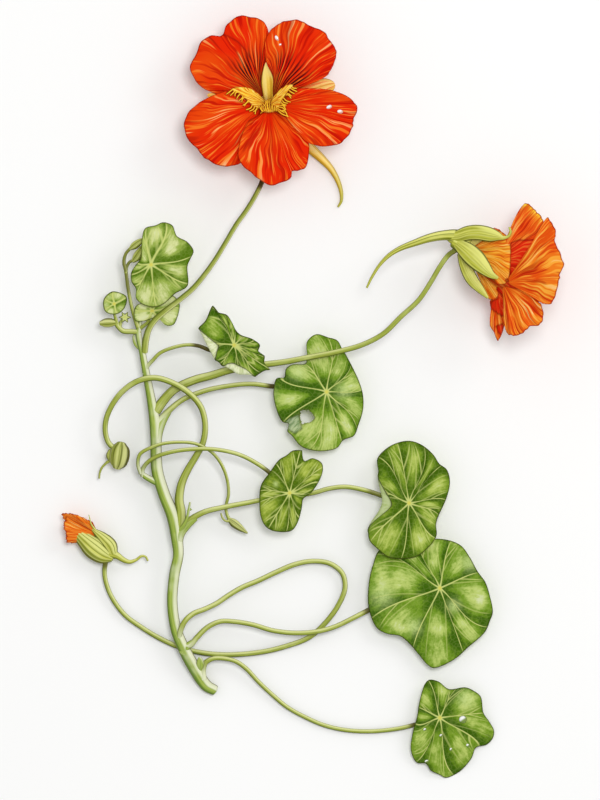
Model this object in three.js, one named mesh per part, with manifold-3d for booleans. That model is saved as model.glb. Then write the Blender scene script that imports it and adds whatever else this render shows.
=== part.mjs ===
// A cut flowering shoot of a climbing nasturtium, lying on a level surface.
//
// Millimetres, +Z up from the surface, origin on the surface under the middle of the shoot. The shoot runs
// along Y, its cut end at -Y and its open flower at +Y. Every stalk, leaf and petal is a closed solid. Pieces
// that grow on each other keep a clearance of GAP, which is cut from one of the two.

import * as THREE from 'three';
import Module from 'manifold-3d';

const wasm = await Module();
wasm.setup();

// ---------------------------------------------------------------- driving dimensions

const GAP = 0.3; // clearance between neighbouring pieces
const LEAF_THICKNESS = 0.7;
const PETAL_THICKNESS = 0.65;
const SEPAL_THICKNESS = 0.7;
const MARGIN_ROLL = 0.6; // radius at which a leaf margin curls over

const LEAF_AROUND = 36; // steps along a big leaf's margin
const LEAF_RINGS = 4;
const PETAL_AROUND = 15;
const PETAL_RINGS = 4;
const STALK_SIDES = 5;

// Open flower: a trumpet that rises from its throat and flattens out into a disc about 57 mm across.
const THROAT = [-14.2, 96.7];
const THROAT_Z = 9;
const TRUMPET_RISE = 8.6;
const TRUMPET_WIDTH = 5.5;
const TRUMPET_DROOP = 0.0022;
const PETAL_LAYER = 1.15; // height from one petal to the next that overlaps it
const SEPAL_DROP = 2.5; // sepals lie this far under the petals

// ---------------------------------------------------------------- materials

function material(color, roughness) {
  return new THREE.MeshStandardMaterial({ color, roughness, metalness: 0 });
}

const STEM = material('#a9b965', 0.55);
const STALK = material('#9aab52', 0.55);
const LEAF = material('#77923f', 0.6);
const YOUNG_LEAF = material('#97aa50', 0.6);
const PETAL = material('#e13c10', 0.6);
const SIDE_PETAL = material('#e0701f', 0.6);
const SEPAL = material('#c4a93a', 0.55);
const GREEN_SEPAL = material('#a9ad3e', 0.55);
const STAMEN = material('#d8a83a', 0.6);
const POD = material('#93a445', 0.6);

// ---------------------------------------------------------------- small helpers

const lerp = (a, b, t) => a + (b - a) * t;
const clamp01 = (t) => Math.min(1, Math.max(0, t));
const ease = (t) => clamp01(t) ** 2 * (3 - 2 * clamp01(t));
const heading = (degrees) => [Math.cos((degrees * Math.PI) / 180), Math.sin((degrees * Math.PI) / 180)];

// A smooth curve through rows of numbers: the first three of a row are a place, the rest are carried along.
function through(rows, closed = false) {
  const places = rows.map(([x, y, z = 0]) => new THREE.Vector3(x, y, z));
  const curve = new THREE.CatmullRomCurve3(places, closed, 'centripetal');
  const spans = closed ? rows.length : rows.length - 1;
  return {
    at: (t) => curve.getPoint(t),
    carried: (t, column, otherwise) => {
      const place = t * spans;
      const first = Math.min(Math.floor(place), spans - (closed ? 0 : 1)) % rows.length;
      const second = closed ? (first + 1) % rows.length : Math.min(first + 1, spans);
      const start = rows[first][column] ?? otherwise;
      const end = rows[second][column] ?? otherwise;
      return lerp(start, end, place - Math.floor(Math.min(place, spans - (closed ? 0 : 1e-9))));
    },
  };
}

// A closed solid from vertices and triangles whose shared corners are already shared.
function solid(points, triangles) {
  const vertProperties = new Float32Array(points.flatMap((p) => [p.x, p.y, p.z]));
  const triVerts = new Uint32Array(triangles);
  return new wasm.Manifold(new wasm.Mesh({ numProp: 3, vertProperties, triVerts }));
}

function largest(shape) {
  return shape.decompose().reduce((a, b) => (b.volume() > a.volume() ? b : a));
}

// Cuts the clearance zones of its neighbours from a shape and keeps the main body.
function trim(shape, ...zones) {
  return largest(zones.reduce((rest, zone) => rest.subtract(zone), shape));
}

function join(...shapes) {
  return largest(shapes.reduce((all, shape) => all.add(shape)));
}

// The surface that the shoot lies on cuts a small flat spot on what rests there.
function rest(shape) {
  return largest(shape.trimByPlane([0, 0, 1], 0));
}

// ---------------------------------------------------------------- stalks, sepals and pods

// A section carried along a smooth route of rows [x, y, z, radius]. The section is an ellipse of that half
// width across the route and flat times it along `up`, and ribs run along it as a cosine of its angle.
function sweep(route, options = {}) {
  const { sides = 6, steps = 24, clear = 0, flat = 1, up = [0, 0, 1], ribs = 0, ribDepth = 0 } = options;
  const path = through(route);
  const points = [];
  const triangles = [];
  const upward = new THREE.Vector3(...up);
  const grow = clear / Math.cos(Math.PI / sides);
  for (let i = 0; i <= steps; i += 1) {
    const t = i / steps;
    const centre = path.at(t);
    const ahead = path.at(Math.min(1, t + 0.005)).sub(path.at(Math.max(0, t - 0.005))).normalize();
    const across = new THREE.Vector3().crossVectors(ahead, upward).normalize();
    const above = new THREE.Vector3().crossVectors(across, ahead);
    const radius = path.carried(t, 3, 1);
    if (i === 0) centre.addScaledVector(ahead, -clear);
    if (i === steps) centre.addScaledVector(ahead, clear);
    for (let j = 0; j < sides; j += 1) {
      const angle = (2 * Math.PI * (j + 0.5)) / sides;
      const swell = 1 + ribDepth * Math.cos(ribs * angle);
      points.push(
        centre
          .clone()
          .addScaledVector(across, Math.cos(angle) * (radius * swell + grow))
          .addScaledVector(above, Math.sin(angle) * (radius * swell * flat + grow)),
      );
    }
    if (i === 0) points.unshift(centre.clone().addScaledVector(ahead, -0.4 * radius * flat - 0.2 * clear));
    if (i === steps) points.push(centre.clone().addScaledVector(ahead, 0.4 * radius * flat + 0.2 * clear));
  }
  const corner = (i, j) => 1 + i * sides + (j % sides);
  for (let j = 0; j < sides; j += 1) {
    triangles.push(0, corner(0, j), corner(0, j + 1));
    triangles.push(points.length - 1, corner(steps, j + 1), corner(steps, j));
    for (let i = 0; i < steps; i += 1) {
      triangles.push(corner(i, j), corner(i + 1, j + 1), corner(i, j + 1));
      triangles.push(corner(i, j), corner(i + 1, j), corner(i + 1, j + 1));
    }
  }
  return solid(points, triangles);
}

// ---------------------------------------------------------------- blades

// A thin shell around the surface point(u, v), split into triangles alike on both faces. A closed blade goes
// round its pole at v = 0; an open one is a fan from u = 0 to 1 that starts at v = `start`.
function blade(point, { around, rings, closed, thickness, start = 0, clear = 0 }) {
  const columns = closed ? around : around + 1;
  const places = [];
  const grid = [];
  const pole = closed ? places.push(point(0, 0)) - 1 : -1;
  for (let i = closed ? 1 : 0; i <= rings; i += 1) {
    const row = [];
    for (let j = 0; j < columns; j += 1) {
      row.push(places.push(point(j / around, lerp(start, 1, i / rings))) - 1);
    }
    grid.push(row);
  }
  const face = [];
  const wrap = (j) => (closed ? j % around : j);
  if (closed) {
    for (let j = 0; j < around; j += 1) face.push([pole, grid[0][j], grid[0][wrap(j + 1)]]);
  }
  for (let i = 0; i + 1 < grid.length; i += 1) {
    for (let j = 0; j < around; j += 1) {
      const [a, b] = [grid[i][j], grid[i][wrap(j + 1)]];
      const [c, d] = [grid[i + 1][wrap(j + 1)], grid[i + 1][j]];
      face.push([a, d, c], [a, c, b]);
    }
  }
  const normals = places.map(() => new THREE.Vector3());
  for (const [a, b, c] of face) {
    const ab = places[b].clone().sub(places[a]);
    const n = ab.cross(places[c].clone().sub(places[a]));
    for (const corner of [a, b, c]) normals[corner].add(n);
  }
  const half = thickness / 2 + clear;
  for (const normal of normals) normal.normalize();
  const side = (sign) => places.map((p, i) => p.clone().addScaledVector(normals[i], sign * half));
  const points = [...side(1), ...side(-1)];
  const below = places.length;
  const triangles = face.flatMap(([a, b, c]) => [a, b, c, below + a, below + c, below + b]);
  const outer = grid[grid.length - 1];
  const first = grid.map((row) => row[0]);
  const last = grid.map((row) => row[around]).reverse();
  const loop = closed
    ? outer
    : [...first, ...outer.slice(1), ...last.slice(1), ...grid[0].slice(1, -1).reverse()];
  for (let k = 0; k < loop.length; k += 1) {
    const [a, b] = [loop[k], loop[(k + 1) % loop.length]];
    triangles.push(a, below + a, below + b, a, below + b, b);
  }
  return solid(points, triangles);
}

// A leaf: its stalk joins it at `centre`, and `rim` lists its margin from there as [x, y, fold]. The margin
// curls up and over at that share of the way out, or not at all where fold is left out. The blade slopes,
// dishes with the square of the distance from the stalk, and puffs up between its veins, whose directions
// are in degrees.
function leaf(row) {
  const { centre, rim, veins, slope = [0, 0], dish = 0, puff = 0.6 } = row;
  const { rings = LEAF_RINGS, around = LEAF_AROUND } = row;
  const margin = through(rim.map(([x, y]) => [x, y, 0]), true);
  const folds = through(rim.map(([x, y, fold]) => [x, y, 0, fold ?? 1]), true);
  const size = rim.reduce((sum, [x, y]) => sum + Math.hypot(x, y), 0) / rim.length;
  const turn = [...veins].sort((a, b) => a - b);
  function height(x, y) {
    const away = Math.hypot(x, y) / size;
    const angle = (THREE.MathUtils.radToDeg(Math.atan2(y, x)) + 720 - turn[0]) % 360;
    const next = turn.findIndex((vein) => vein - turn[0] > angle);
    const from = turn[(next < 0 ? turn.length : next) - 1] - turn[0];
    const to = next < 0 ? 360 : turn[next] - turn[0];
    const between = Math.sin((Math.PI * (angle - from)) / (to - from));
    return slope[0] * x + slope[1] * y + dish * away ** 2 + puff * between * Math.min(1, away * 1.4);
  }
  function point(u, v) {
    const out = 1 - (1 - v) ** 1.25;
    const edge = margin.at(u);
    const reach = Math.hypot(edge.x, edge.y);
    const fold = reach * folds.carried(u, 3, 1);
    const past = out * reach - fold;
    const turned = Math.PI * MARGIN_ROLL;
    let distance = out * reach;
    let raised = 0;
    if (past > 0 && past < turned) {
      distance = fold + MARGIN_ROLL * Math.sin(past / MARGIN_ROLL);
      raised = MARGIN_ROLL * (1 - Math.cos(past / MARGIN_ROLL));
    } else if (past >= turned) {
      distance = fold - (past - turned);
      raised = 2 * MARGIN_ROLL;
    }
    const x = (edge.x / reach) * distance;
    const y = (edge.y / reach) * distance;
    return new THREE.Vector3(centre[0] + x, centre[1] + y, centre[2] + height(x, y) + raised);
  }
  return (clear = 0) => blade(point, { around, rings, closed: true, thickness: LEAF_THICKNESS, clear });
}

// A petal limb: a fan from `apex` to the margin `rim`, rows of [x, y, z], pleated along its rays and arched
// in its middle. `lift` is added to the height and may follow both parameters.
function limb(row) {
  const { apex, rim, start = 0.12, arch = [0, 0, 0], lift = () => 0 } = row;
  const { pleats = 5, pleat = 0.35, around = PETAL_AROUND, rings = PETAL_RINGS } = row;
  const margin = through(rim);
  const root = new THREE.Vector3(...apex);
  const bulge = new THREE.Vector3(...arch);
  const point = (u, v) => {
    const place = root.clone().lerp(margin.at(u), v);
    place.addScaledVector(bulge, 4 * v * (1 - v) * Math.sin(Math.PI * u));
    place.z += lift(u, v, place) + pleat * v * Math.cos(2 * Math.PI * pleats * u);
    return place;
  };
  const fan = { around, rings, closed: false, thickness: PETAL_THICKNESS, start };
  return (clear = 0) => blade(point, { ...fan, clear });
}

// ---------------------------------------------------------------- main stem

const MAIN_STEM_ROUTE = [
  [-32.2, -97, 1.45, 1.75], [-35, -95.4, 1.55, 1.95], [-38.6, -90.1, 3, 2.1], [-42.2, -83.5, 4.8, 2],
  [-44.9, -76.9, 5.5, 1.85], [-46.2, -68, 6, 1.75], [-45.5, -58.7, 6.4, 1.75], [-44.2, -52.1, 6.7, 1.75],
  [-44.6, -47.2, 6.8, 1.95], [-45.9, -39.6, 7, 2.15], [-48.8, -32.3, 7, 2], [-51.2, -24.1, 7, 1.95],
  [-51.6, -14.2, 7, 1.85], [-52, -7.6, 7.1, 1.85], [-53.1, -1, 7.3, 1.5], [-54.5, 6.3, 7.6, 1.3],
  [-56.1, 14.9, 8, 1.1], [-57.3, 21.1, 8, 1], [-56.8, 25.4, 7.8, 0.7],
];
// Short outgrowths of the stem: the node under leaf F and the shoot in the axil of leaf G.
const STEM_OUTGROWTHS = [
  [[-52.5, -27.1, 7, 1.1], [-54.8, -26.4, 7, 1], [-56.3, -25.2, 7.1, 0.85]],
  [[-44.2, -43.9, 8, 0.8], [-41.6, -40.9, 9.4, 0.55], [-40.9, -38.3, 9.8, 0.45], [-40.3, -34.8, 10, 0.35]],
  [[-41.1, -37.6, 9.8, 0.4], [-39.9, -37, 9.9, 0.35]],
];
const LEAF_SCALES = [
  [[-37.2, -90.4, 4, 0.5], [-37, -88.6, 5, 1.3], [-37.1, -86.8, 5.4, 1], [-37.4, -86, 5.5, 0.4]],
  [[-56.4, 15.2, 7.6, 0.4], [-58, 17.4, 7.4, 0.8], [-58.7, 19.6, 7.2, 0.7], [-58.8, 20.8, 7.2, 0.35]],
];

const mainStem = (clear = 0) => {
  let shape = sweep(MAIN_STEM_ROUTE, { sides: 8, steps: 26, clear });
  for (const route of STEM_OUTGROWTHS) shape = shape.add(sweep(route, { sides: 5, steps: 3, clear }));
  for (const route of LEAF_SCALES) {
    shape = shape.add(sweep(route, { sides: 6, steps: 3, flat: 0.35, clear }));
  }
  return rest(shape);
};

// ---------------------------------------------------------------- leaves

const LEAVES = {
  leaf_a: {
    centre: [-53.1, 43.6, 14.4], veins: [71, 97, 173, -154, -128, -83, -27, 12], dish: -1.2, puff: 0.7,
    around: 34, rings: 3,
    rim: [
      [4, 14], [7, 13], [8.5, 9.5], [12, 7.5], [14, 4.5], [13, 2], [12, -0.5], [12, -7], [8, -9.5],
      [4, -13], [1, -14], [-3, -13], [-5, -11], [-5, -8], [-6.5, -5.5], [-6.5, -2.5], [-5, 0], [-3.5, 2],
      [-3, 8.5], [-2, 12], [1.5, 13],
    ],
  },
  leaf_b: {
    centre: [-52.8, 28.4, 10.2], veins: [5, 65, 120, 175, -120, -50], puff: 0.3, dish: -0.4, around: 24,
    rings: 2,
    rim: [
      [9, 0.5], [9, 2.5], [7, 5], [3, 4.5], [-1.5, 3], [-5, 2], [-6, 0], [-5.6, -3.2], [-3.5, -3.5],
      [2, -2.5], [4.5, -4.8], [7, -4.6], [8.2, -2.5],
    ],
  },
  leaf_c: {
    centre: [-65.3, 30.7, 10.4], veins: [95, 30, 150, -150, -70], puff: 0.25, around: 14, rings: 2,
    rim: [[-1, 4], [1, 4], [4, 2.5], [4, 0], [2.5, -2.5], [0, -3.5], [-3, -2.5], [-3.5, 1.5]],
  },
  leaf_d: {
    centre: [-25.7, 17.1, 12.9], veins: [118, 99, 60, 14, -5, -33, -46, -70, -128, 168], dish: 1.4,
    puff: 0.7,
    around: 30, rings: 6,
    rim: [
      [-7, 13], [-5.7, 11], [-2.5, 10], [-1, 8], [0.5, 5], [2, 3.5], [6, 2], [8.5, 0], [8, -2], [10, -3.5],
      [10, -6], [12, -8], [10, -8.5], [7.3, -10.2], [6.1, -11.2, 0.82], [1.8, -10.8, 0.7],
      [-3.3, -7.8, 0.78], [-5.2, -5.6], [-7.5, -4.6, 0.8], [-11.9, 0, 0.68], [-12.5, 4.8, 0.82],
      [-11.5, 6], [-9.5, 8],
    ],
  },
  leaf_e: {
    centre: [4.8, 1.7, 8.2], veins: [89, 48, 3, -51, -73, -107, -145, 162, 128], slope: [-0.03, 0.01],
    dish: -1.2,
    puff: 0.8,
    rim: [
      [-3.5, 19], [0.5, 18], [3.5, 17], [5, 14.5], [6.5, 12], [10.5, 4], [12, -1], [12, -6], [10.5, -11],
      [9, -14.5], [5.5, -16], [3.5, -18.5], [0, -19.5], [-4, -19.5], [-8.5, -18], [-11.5, -14.5],
      [-13, -13], [-12.6, -10.6], [-14.5, -10], [-16, -7.5], [-17.5, -2], [-17.5, 1], [-16.5, 4.5],
      [-14, 4.8], [-13.5, 7.5], [-11.5, 9], [-7, 9.4], [-6.5, 12], [-6.5, 16.5],
    ],
  },
  leaf_f: {
    centre: [-7.4, -31.7, 10.5], veins: [76, 115, 176, -163, -121, -95, -68, 0, 20, 38], dish: -0.8,
    puff: 0.6,
    around: 32, rings: 3,
    rim: [
      [1, 14], [4.4, 13.9], [4.2, 12.5], [4.9, 10.6], [7.5, 11.5], [10.5, 10], [11, 8], [10, 4.5], [7, 0],
      [4.5, -2], [4, -5], [2.5, -10], [0.5, -12.5], [-5.5, -12.5], [-8, -11], [-9.5, -8], [-10, -2.5],
      [-9.5, 2.5], [-6.5, 7], [-3.5, 11], [-1, 12.5],
    ],
  },
  leaf_g: {
    centre: [32, -35, 9.3], veins: [101, 75, 49, 5, -22, -53, -98, -135, 163, 124], slope: [0.03, 0.01],
    dish: -0.9,
    puff: 0.8, around: 34, rings: 6,
    rim: [
      [-10.5, 14.5], [-7.5, 18], [-3.5, 20], [0.5, 20.5], [4.5, 19], [8, 16], [10, 13], [12.5, 11],
      [13.5, 7], [12.5, 2], [9, -6.5], [9, -11], [5.5, -15.5], [1.5, -18], [-6.5, -18], [-10, -15.5],
      [-13, -12.5], [-13.6, -9.6], [-14.1, -5.1, 0.7], [-12.2, 0.8, 0.66], [-11.2, 7.5, 0.83],
      [-10.2, 10],
    ],
  },
  leaf_h: {
    centre: [42.2, -63.1, 6.6], veins: [111, 77, 22, -39, -70, -114, -156, 152], slope: [0, 0.02],
    dish: -1.4,
    puff: 0.9, around: 40,
    rim: [
      [-20, 12.5], [-13.5, 14.5], [-7, 16], [2, 16], [7, 14], [10, 10], [12.5, 5.5], [15, 2],
      [16.5, -2.5], [17.5, -8], [16.5, -11], [15, -14.5], [9.5, -19.5], [5, -23.5], [-2, -26.5],
      [-4, -25.5], [-7, -22], [-10, -18.5], [-13, -16], [-18, -15], [-21, -13], [-23.5, -6.5],
      [-23.5, 1.5], [-22, 8],
    ],
  },
  leaf_i: {
    centre: [42.2, -106, 4.6], veins: [107, 60, 6, -36, -76, -118, -167, 154], slope: [-0.03, 0.03],
    dish: -2.2,
    puff: 0.8,
    rim: [
      [-3.5, 12.5], [-0.5, 12], [3, 9.5], [8.5, 10], [11, 9], [13.5, 7], [14.5, 1.5], [16.5, -1.5],
      [18, -4.5], [17.5, -7], [15.5, -9], [12, -10], [10.5, -13.5], [6.5, -18], [2, -20], [0, -19],
      [-3, -17.5], [-4.6, -15.2], [-7.5, -15], [-9.5, -11], [-9, -5], [-7.5, 0.5], [-7, 4], [-5, 11],
    ],
  },
};

// The hole that an insect ate in leaf E, seen from above.
const EATEN_HOLE = [[-4, -4.1], [-1.7, -3.9], [0.6, -6.3], [-1.4, -8], [-3.2, -8.8], [-4, -7.1]];

function prism(outline, low, high) {
  const shape = new THREE.Shape(outline.map(([x, y]) => new THREE.Vector2(x, y)));
  const box = new THREE.ExtrudeGeometry(shape, { depth: high - low, bevelEnabled: false, steps: 1 });
  box.translate(0, 0, low);
  const { count } = box.attributes.position;
  const keys = new Map();
  const points = [];
  const triangles = [];
  for (let i = 0; i < count; i += 1) {
    const p = new THREE.Vector3().fromBufferAttribute(box.attributes.position, i);
    const key = p.toArray().map((value) => value.toFixed(4)).join();
    if (!keys.has(key)) keys.set(key, points.push(p) - 1);
    triangles.push(keys.get(key));
  }
  return solid(points, triangles);
}

// The rosette leaf at the fork of the side shoot: six short lobes.
const ROSETTE = {
  centre: [-61.8, 26.3, 9.3], veins: [0, 60, 120, 180, 240, 300], puff: 0.2, around: 12, rings: 1,
  rim: Array.from({ length: 12 }, (_, k) => {
    const angle = (2 * Math.PI * k) / 12;
    const reach = k % 2 ? 1.2 : 2.1;
    return [reach * Math.cos(angle), reach * Math.sin(angle)];
  }),
};

// ---------------------------------------------------------------- stalks

// Where a leaf stalk of this radius ends under the blade that it carries.
function under(name, radius) {
  const [x, y, z] = LEAVES[name].centre;
  return [x, y, z - LEAF_THICKNESS / 2 - GAP - 0.9 * radius, radius];
}

// Rows are [x, y, z, radius], from where the stalk grows out to what it carries.
const STALKS = {
  top_shoot: {
    steps: 10,
    route: [
      [-57.5, 23, 8.4, 0.8], [-58.4, 25.6, 8.5, 0.68], [-59.6, 30, 8.8, 0.62], [-60.7, 35.6, 9.4, 0.6],
      [-61.5, 41.6, 10, 0.6], [-62.1, 44.6, 10.3, 0.6], [-61.5, 47.2, 10.5, 0.52],
      [-60.2, 48.8, 10.6, 0.5],
    ],
    forks: [[[-61.5, 40.9, 10, 0.6], [-61.1, 43.1, 10, 0.5], [-60.1, 44.6, 10, 0.5], [-58.9, 45, 10, 0.5]]],
  },
  side_shoot: {
    steps: 6,
    route: [
      [-56.8, 21.4, 8, 0.9], [-59.7, 21.6, 8, 0.9], [-62.4, 21.8, 8, 0.9], [-63.9, 23.1, 8, 0.85],
      [-65, 24.6, 8, 0.8],
    ],
    forks: [[[-63.6, 23, 8, 0.7], [-63, 25, 8, 0.55], [-62.1, 26, 8, 0.5]]],
  },
  petiole_a: {
    steps: 8,
    route: [
      [-56.8, 25.1, 7.8, 0.75], [-55.6, 28.4, 7.6, 0.65], [-54.5, 33.4, 8, 0.65],
      [-53.5, 38.3, 10.6, 0.65],
      [-53.1, 41.2, 12.6, 0.65], under('leaf_a', 0.65),
    ],
  },
  petiole_b: { steps: 4, route: [[-56.6, 22.8, 8.2, 0.7], [-54.4, 24.6, 8.8, 0.55], under('leaf_b', 0.5)] },
  petiole_c: {
    steps: 5,
    route: [[-64.2, 23.6, 8, 0.7], [-65, 26.4, 8.8, 0.55], [-65.4, 28.4, 9.4, 0.5], under('leaf_c', 0.45)],
  },
  petiole_d: {
    steps: 15,
    route: [
      [-55.4, 7.6, 7.8, 0.8], [-54.3, 10.2, 8.4, 0.68], [-52.8, 11.9, 8.8, 0.62], [-50.2, 14.5, 9.4, 0.6],
      [-46.2, 16.2, 9.9, 0.6], [-41.2, 17.2, 10.2, 0.6], [-37.3, 16.8, 10.4, 0.65],
      [-33, 15.3, 10.6, 0.7],
      [-29, 16.2, 11.4, 0.65], under('leaf_d', 0.65),
    ],
  },
  petiole_e: {
    steps: 14,
    route: [
      [-51.2, -8.9, 7, 1.3], [-48.5, -5.8, 7, 1.15], [-46.2, -3.5, 6.8, 0.95], [-42.6, -0.8, 6.3, 0.88],
      [-35.6, 2, 5.8, 0.85], [-28.7, 3.5, 5.5, 0.82], [-20.5, 4.3, 5.2, 0.8], [-13.2, 3.5, 5.1, 0.8],
      [-4, 2.3, 5.7, 0.8], under('leaf_e', 0.8),
    ],
  },
  petiole_f: {
    steps: 20,
    route: [
      [-56, -26.1, 7, 0.8], [-55.9, -23.8, 8, 0.72], [-54.1, -21.4, 9.6, 0.7], [-51.2, -19.6, 11, 0.7],
      [-47.5, -18.4, 11.8, 0.7], [-42.6, -17.5, 12.2, 0.7], [-35.6, -17.1, 12.5, 0.7],
      [-30.4, -17.5, 12.2, 0.7],
      [-24.1, -19, 11, 0.7], [-18.5, -21.8, 9.4, 0.72], [-13.9, -25.1, 8.6, 0.72], under('leaf_f', 0.72),
    ],
  },
  petiole_g: {
    steps: 18,
    route: [
      [-44.9, -45.9, 6.8, 1.7], [-42.6, -42.9, 7, 1.35], [-40.3, -40.6, 7.3, 1.1],
      [-35.6, -38, 7.6, 0.95], [-28.7, -36.3, 7.6, 0.88], [-21.8, -35, 7, 0.85], [-16.5, -34, 6.4, 0.8],
      [-7.3, -32.9, 5.6, 0.8], [0.3, -31.7, 5.6, 0.8], [5.9, -30.2, 6, 0.8], [11.2, -29.7, 6.2, 0.8],
      [17.8, -30.9, 6.2, 0.8],
      [25.1, -33.3, 6.6, 0.8], under('leaf_g', 0.8),
    ],
  },
  petiole_h: {
    steps: 20,
    route: [
      [-42.9, -82.5, 5.6, 1], [-40.3, -82, 6, 0.95], [-38.1, -79.5, 5.9, 0.9], [-34.6, -76.1, 5.6, 0.85],
      [-30.4, -74.2, 5.4, 0.82], [-26.1, -74.2, 5.3, 0.82], [-19.8, -75.2, 5.2, 0.82],
      [-12.9, -77.2, 5, 0.82], [-5.6, -78, 4.8, 0.82], [1.7, -77.5, 4.6, 0.82], [7.6, -75.9, 4.2, 0.82],
      [13.5, -73.1, 3.8, 0.82],
      [19.1, -70.3, 3.1, 0.85], [29, -66.3, 3.2, 0.85], under('leaf_h', 0.85),
    ],
  },
  petiole_i: {
    steps: 22,
    route: [
      [-36, -93.4, 3, 1.2], [-36.1, -90.4, 3.3, 1.05], [-35.3, -87.9, 3.9, 0.9],
      [-32.8, -86.5, 4.1, 0.78], [-28.7, -86.5, 4, 0.75], [-25.1, -87.5, 3.5, 0.75],
      [-21.8, -89.8, 3, 0.75], [-17.8, -94.1, 2.3, 0.72], [-12.9, -98.7, 1.7, 0.72],
      [-8.2, -102.6, 1.3, 0.7], [-2.3, -105.9, 1, 0.7], [4, -108.6, 0.9, 0.7], [11.2, -110.2, 0.9, 0.7],
      [19.8, -110.6, 0.9, 0.7], [29, -109.6, 1, 0.7], [35.6, -107.9, 1.4, 0.7],
      under('leaf_i', 0.7),
    ],
  },
  open_flower_stalk: {
    steps: 22,
    route: [
      [-55.4, 14.9, 8.2, 1.2], [-54.9, 18.8, 9.2, 1.15], [-54, 22.1, 10.4, 1.05], [-52.1, 25.1, 11.8, 1],
      [-48.8, 28.1, 12.4, 0.95], [-44.3, 31.6, 12.4, 0.9], [-39.4, 35.7, 12.3, 0.88],
      [-35.8, 39.9, 12.2, 0.85], [-32.2, 44.9, 12, 0.82], [-28.6, 50.8, 11.5, 0.8],
      [-25, 56.9, 10.8, 0.8], [-21.8, 61.4, 10, 0.8], [-19, 66, 9, 0.8], [-16.5, 71.3, 7.8, 0.82],
      [-15, 78.2, 6.4, 0.85], [-14.4, 86.5, 5.2, 0.9], [-14.2, 94.1, 4.6, 0.95],
    ],
  },
  side_flower_stalk: {
    steps: 22,
    route: [
      [-51.5, -4.6, 7.2, 1.7], [-49.5, -1.7, 7.2, 1.6], [-46.5, 1.7, 7.3, 1.5], [-43.2, 3.8, 7.4, 1.45],
      [-38.3, 5.8, 7.5, 1.42], [-33.3, 7.1, 7.6, 1.38], [-28.4, 8.6, 7.9, 1.3], [-22.1, 9.9, 8.4, 1.2],
      [-15.8, 10.7, 9, 1.1], [-8.9, 11.6, 9.9, 1], [-2, 12.9, 10.8, 0.95], [4, 14, 11.5, 0.92],
      [9.6, 15.2, 12.1, 0.9], [16.5, 17.2, 12.8, 0.88], [23.4, 20.8, 13.6, 0.86],
      [29.4, 26.6, 14.8, 0.85], [35, 31.8, 16, 0.82], [39, 37.7, 17.2, 0.82], [42.2, 43.1, 18.3, 0.82],
      [45, 46.8, 19.2, 0.85], [48.4, 49, 19.8, 0.9],
    ],
  },
  seed_pod_stalk: {
    steps: 30,
    route: [
      [-43.6, -42.9, 6.9, 1.8], [-43.4, -38, 7.4, 1.7], [-43.9, -34, 7.8, 1.5], [-43.1, -28.7, 8, 1.35],
      [-40.9, -23.8, 8.2, 1.2], [-38.3, -19.5, 8.4, 1.12], [-36.1, -15.2, 8.6, 1.05],
      [-35.3, -9.6, 9.2, 1], [-36.6, -3.6, 10, 1], [-40.3, 1, 10.7, 1], [-45.5, 4.4, 10.9, 1],
      [-51.8, 6.3, 10.9, 1], [-57.4, 5.3, 10.4, 0.97], [-62.4, 2, 9.3, 0.94], [-66, -2.6, 8, 0.91],
      [-68, -7.3, 7, 0.9], [-68.3, -11.6, 6.2, 0.88], [-67.2, -15.2, 5.5, 0.9], [-64.8, -17.5, 5, 0.95],
    ],
  },
  bud_stalk: {
    steps: 44,
    route: [
      [-44.1, -80.9, 5.6, 1], [-43.6, -77.5, 7, 0.95], [-41.9, -73.9, 7.4, 0.9], [-39.3, -71.6, 7, 0.88],
      [-35.3, -70, 6.4, 0.85], [-31.4, -68.1, 5.8, 0.85], [-27.7, -65.6, 5.2, 0.85],
      [-23.1, -62.9, 4.6, 0.85], [-17.8, -60.7, 4.1, 0.85], [-11.9, -57.9, 3.6, 0.85],
      [-5.6, -55.3, 3.2, 0.85], [0.3, -54.3, 2.9, 0.85], [5.9, -55.1, 2.6, 0.85], [9.9, -58.2, 2.4, 0.85],
      [10.9, -63, 2.2, 0.85], [8.7, -68.8, 2, 0.85], [4.5, -74.6, 1.7, 0.85], [-1, -79.5, 1.4, 0.85],
      [-8.2, -82.3, 1.2, 0.85], [-15.8, -84.2, 1.1, 0.85], [-25.1, -85.2, 1, 0.85],
      [-32.3, -85.1, 1, 0.85], [-38.6, -84.2, 1, 0.85], [-44.6, -82.5, 1.05, 0.85],
      [-51.2, -79.4, 1.2, 0.83], [-56.4, -76.2, 1.4, 0.8], [-61.7, -72.3, 1.7, 0.8],
      [-65.3, -67.8, 2, 0.8], [-67.5, -63.4, 2.4, 0.78], [-68.6, -58.7, 2.9, 0.78],
      [-68.3, -54.8, 3.5, 0.85], [-67.4, -52.5, 3.9, 0.95],
    ],
  },
  hanging_stalk: {
    steps: 20,
    route: [
      [-56.6, -25.2, 7.4, 0.72], [-57.5, -22.4, 8.6, 0.62], [-56.8, -18.9, 9.9, 0.6],
      [-53.4, -16.8, 10.7, 0.6], [-49.2, -15.4, 10.9, 0.58], [-43.9, -14.9, 11, 0.56],
      [-38.9, -15.3, 10.8, 0.55], [-35.6, -16.6, 10.5, 0.55], [-32.7, -18.6, 9.7, 0.55],
      [-29.9, -22.3, 8.4, 0.55], [-28.1, -27.1, 6.9, 0.53], [-27.6, -32, 5.6, 0.52],
      [-28.4, -36, 4.9, 0.52], [-28.2, -38.6, 4.7, 0.55], [-27.4, -40.4, 4.6, 0.6],
    ],
  },
};

const stalk = ({ route, steps, forks = [] }, clear = 0) => {
  let shape = sweep(route, { sides: STALK_SIDES, steps, clear });
  for (const fork of forks) shape = shape.add(sweep(fork, { sides: STALK_SIDES, steps: 4, clear }));
  return shape;
};

// ---------------------------------------------------------------- closed buds, seed pod, opening bud

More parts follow.
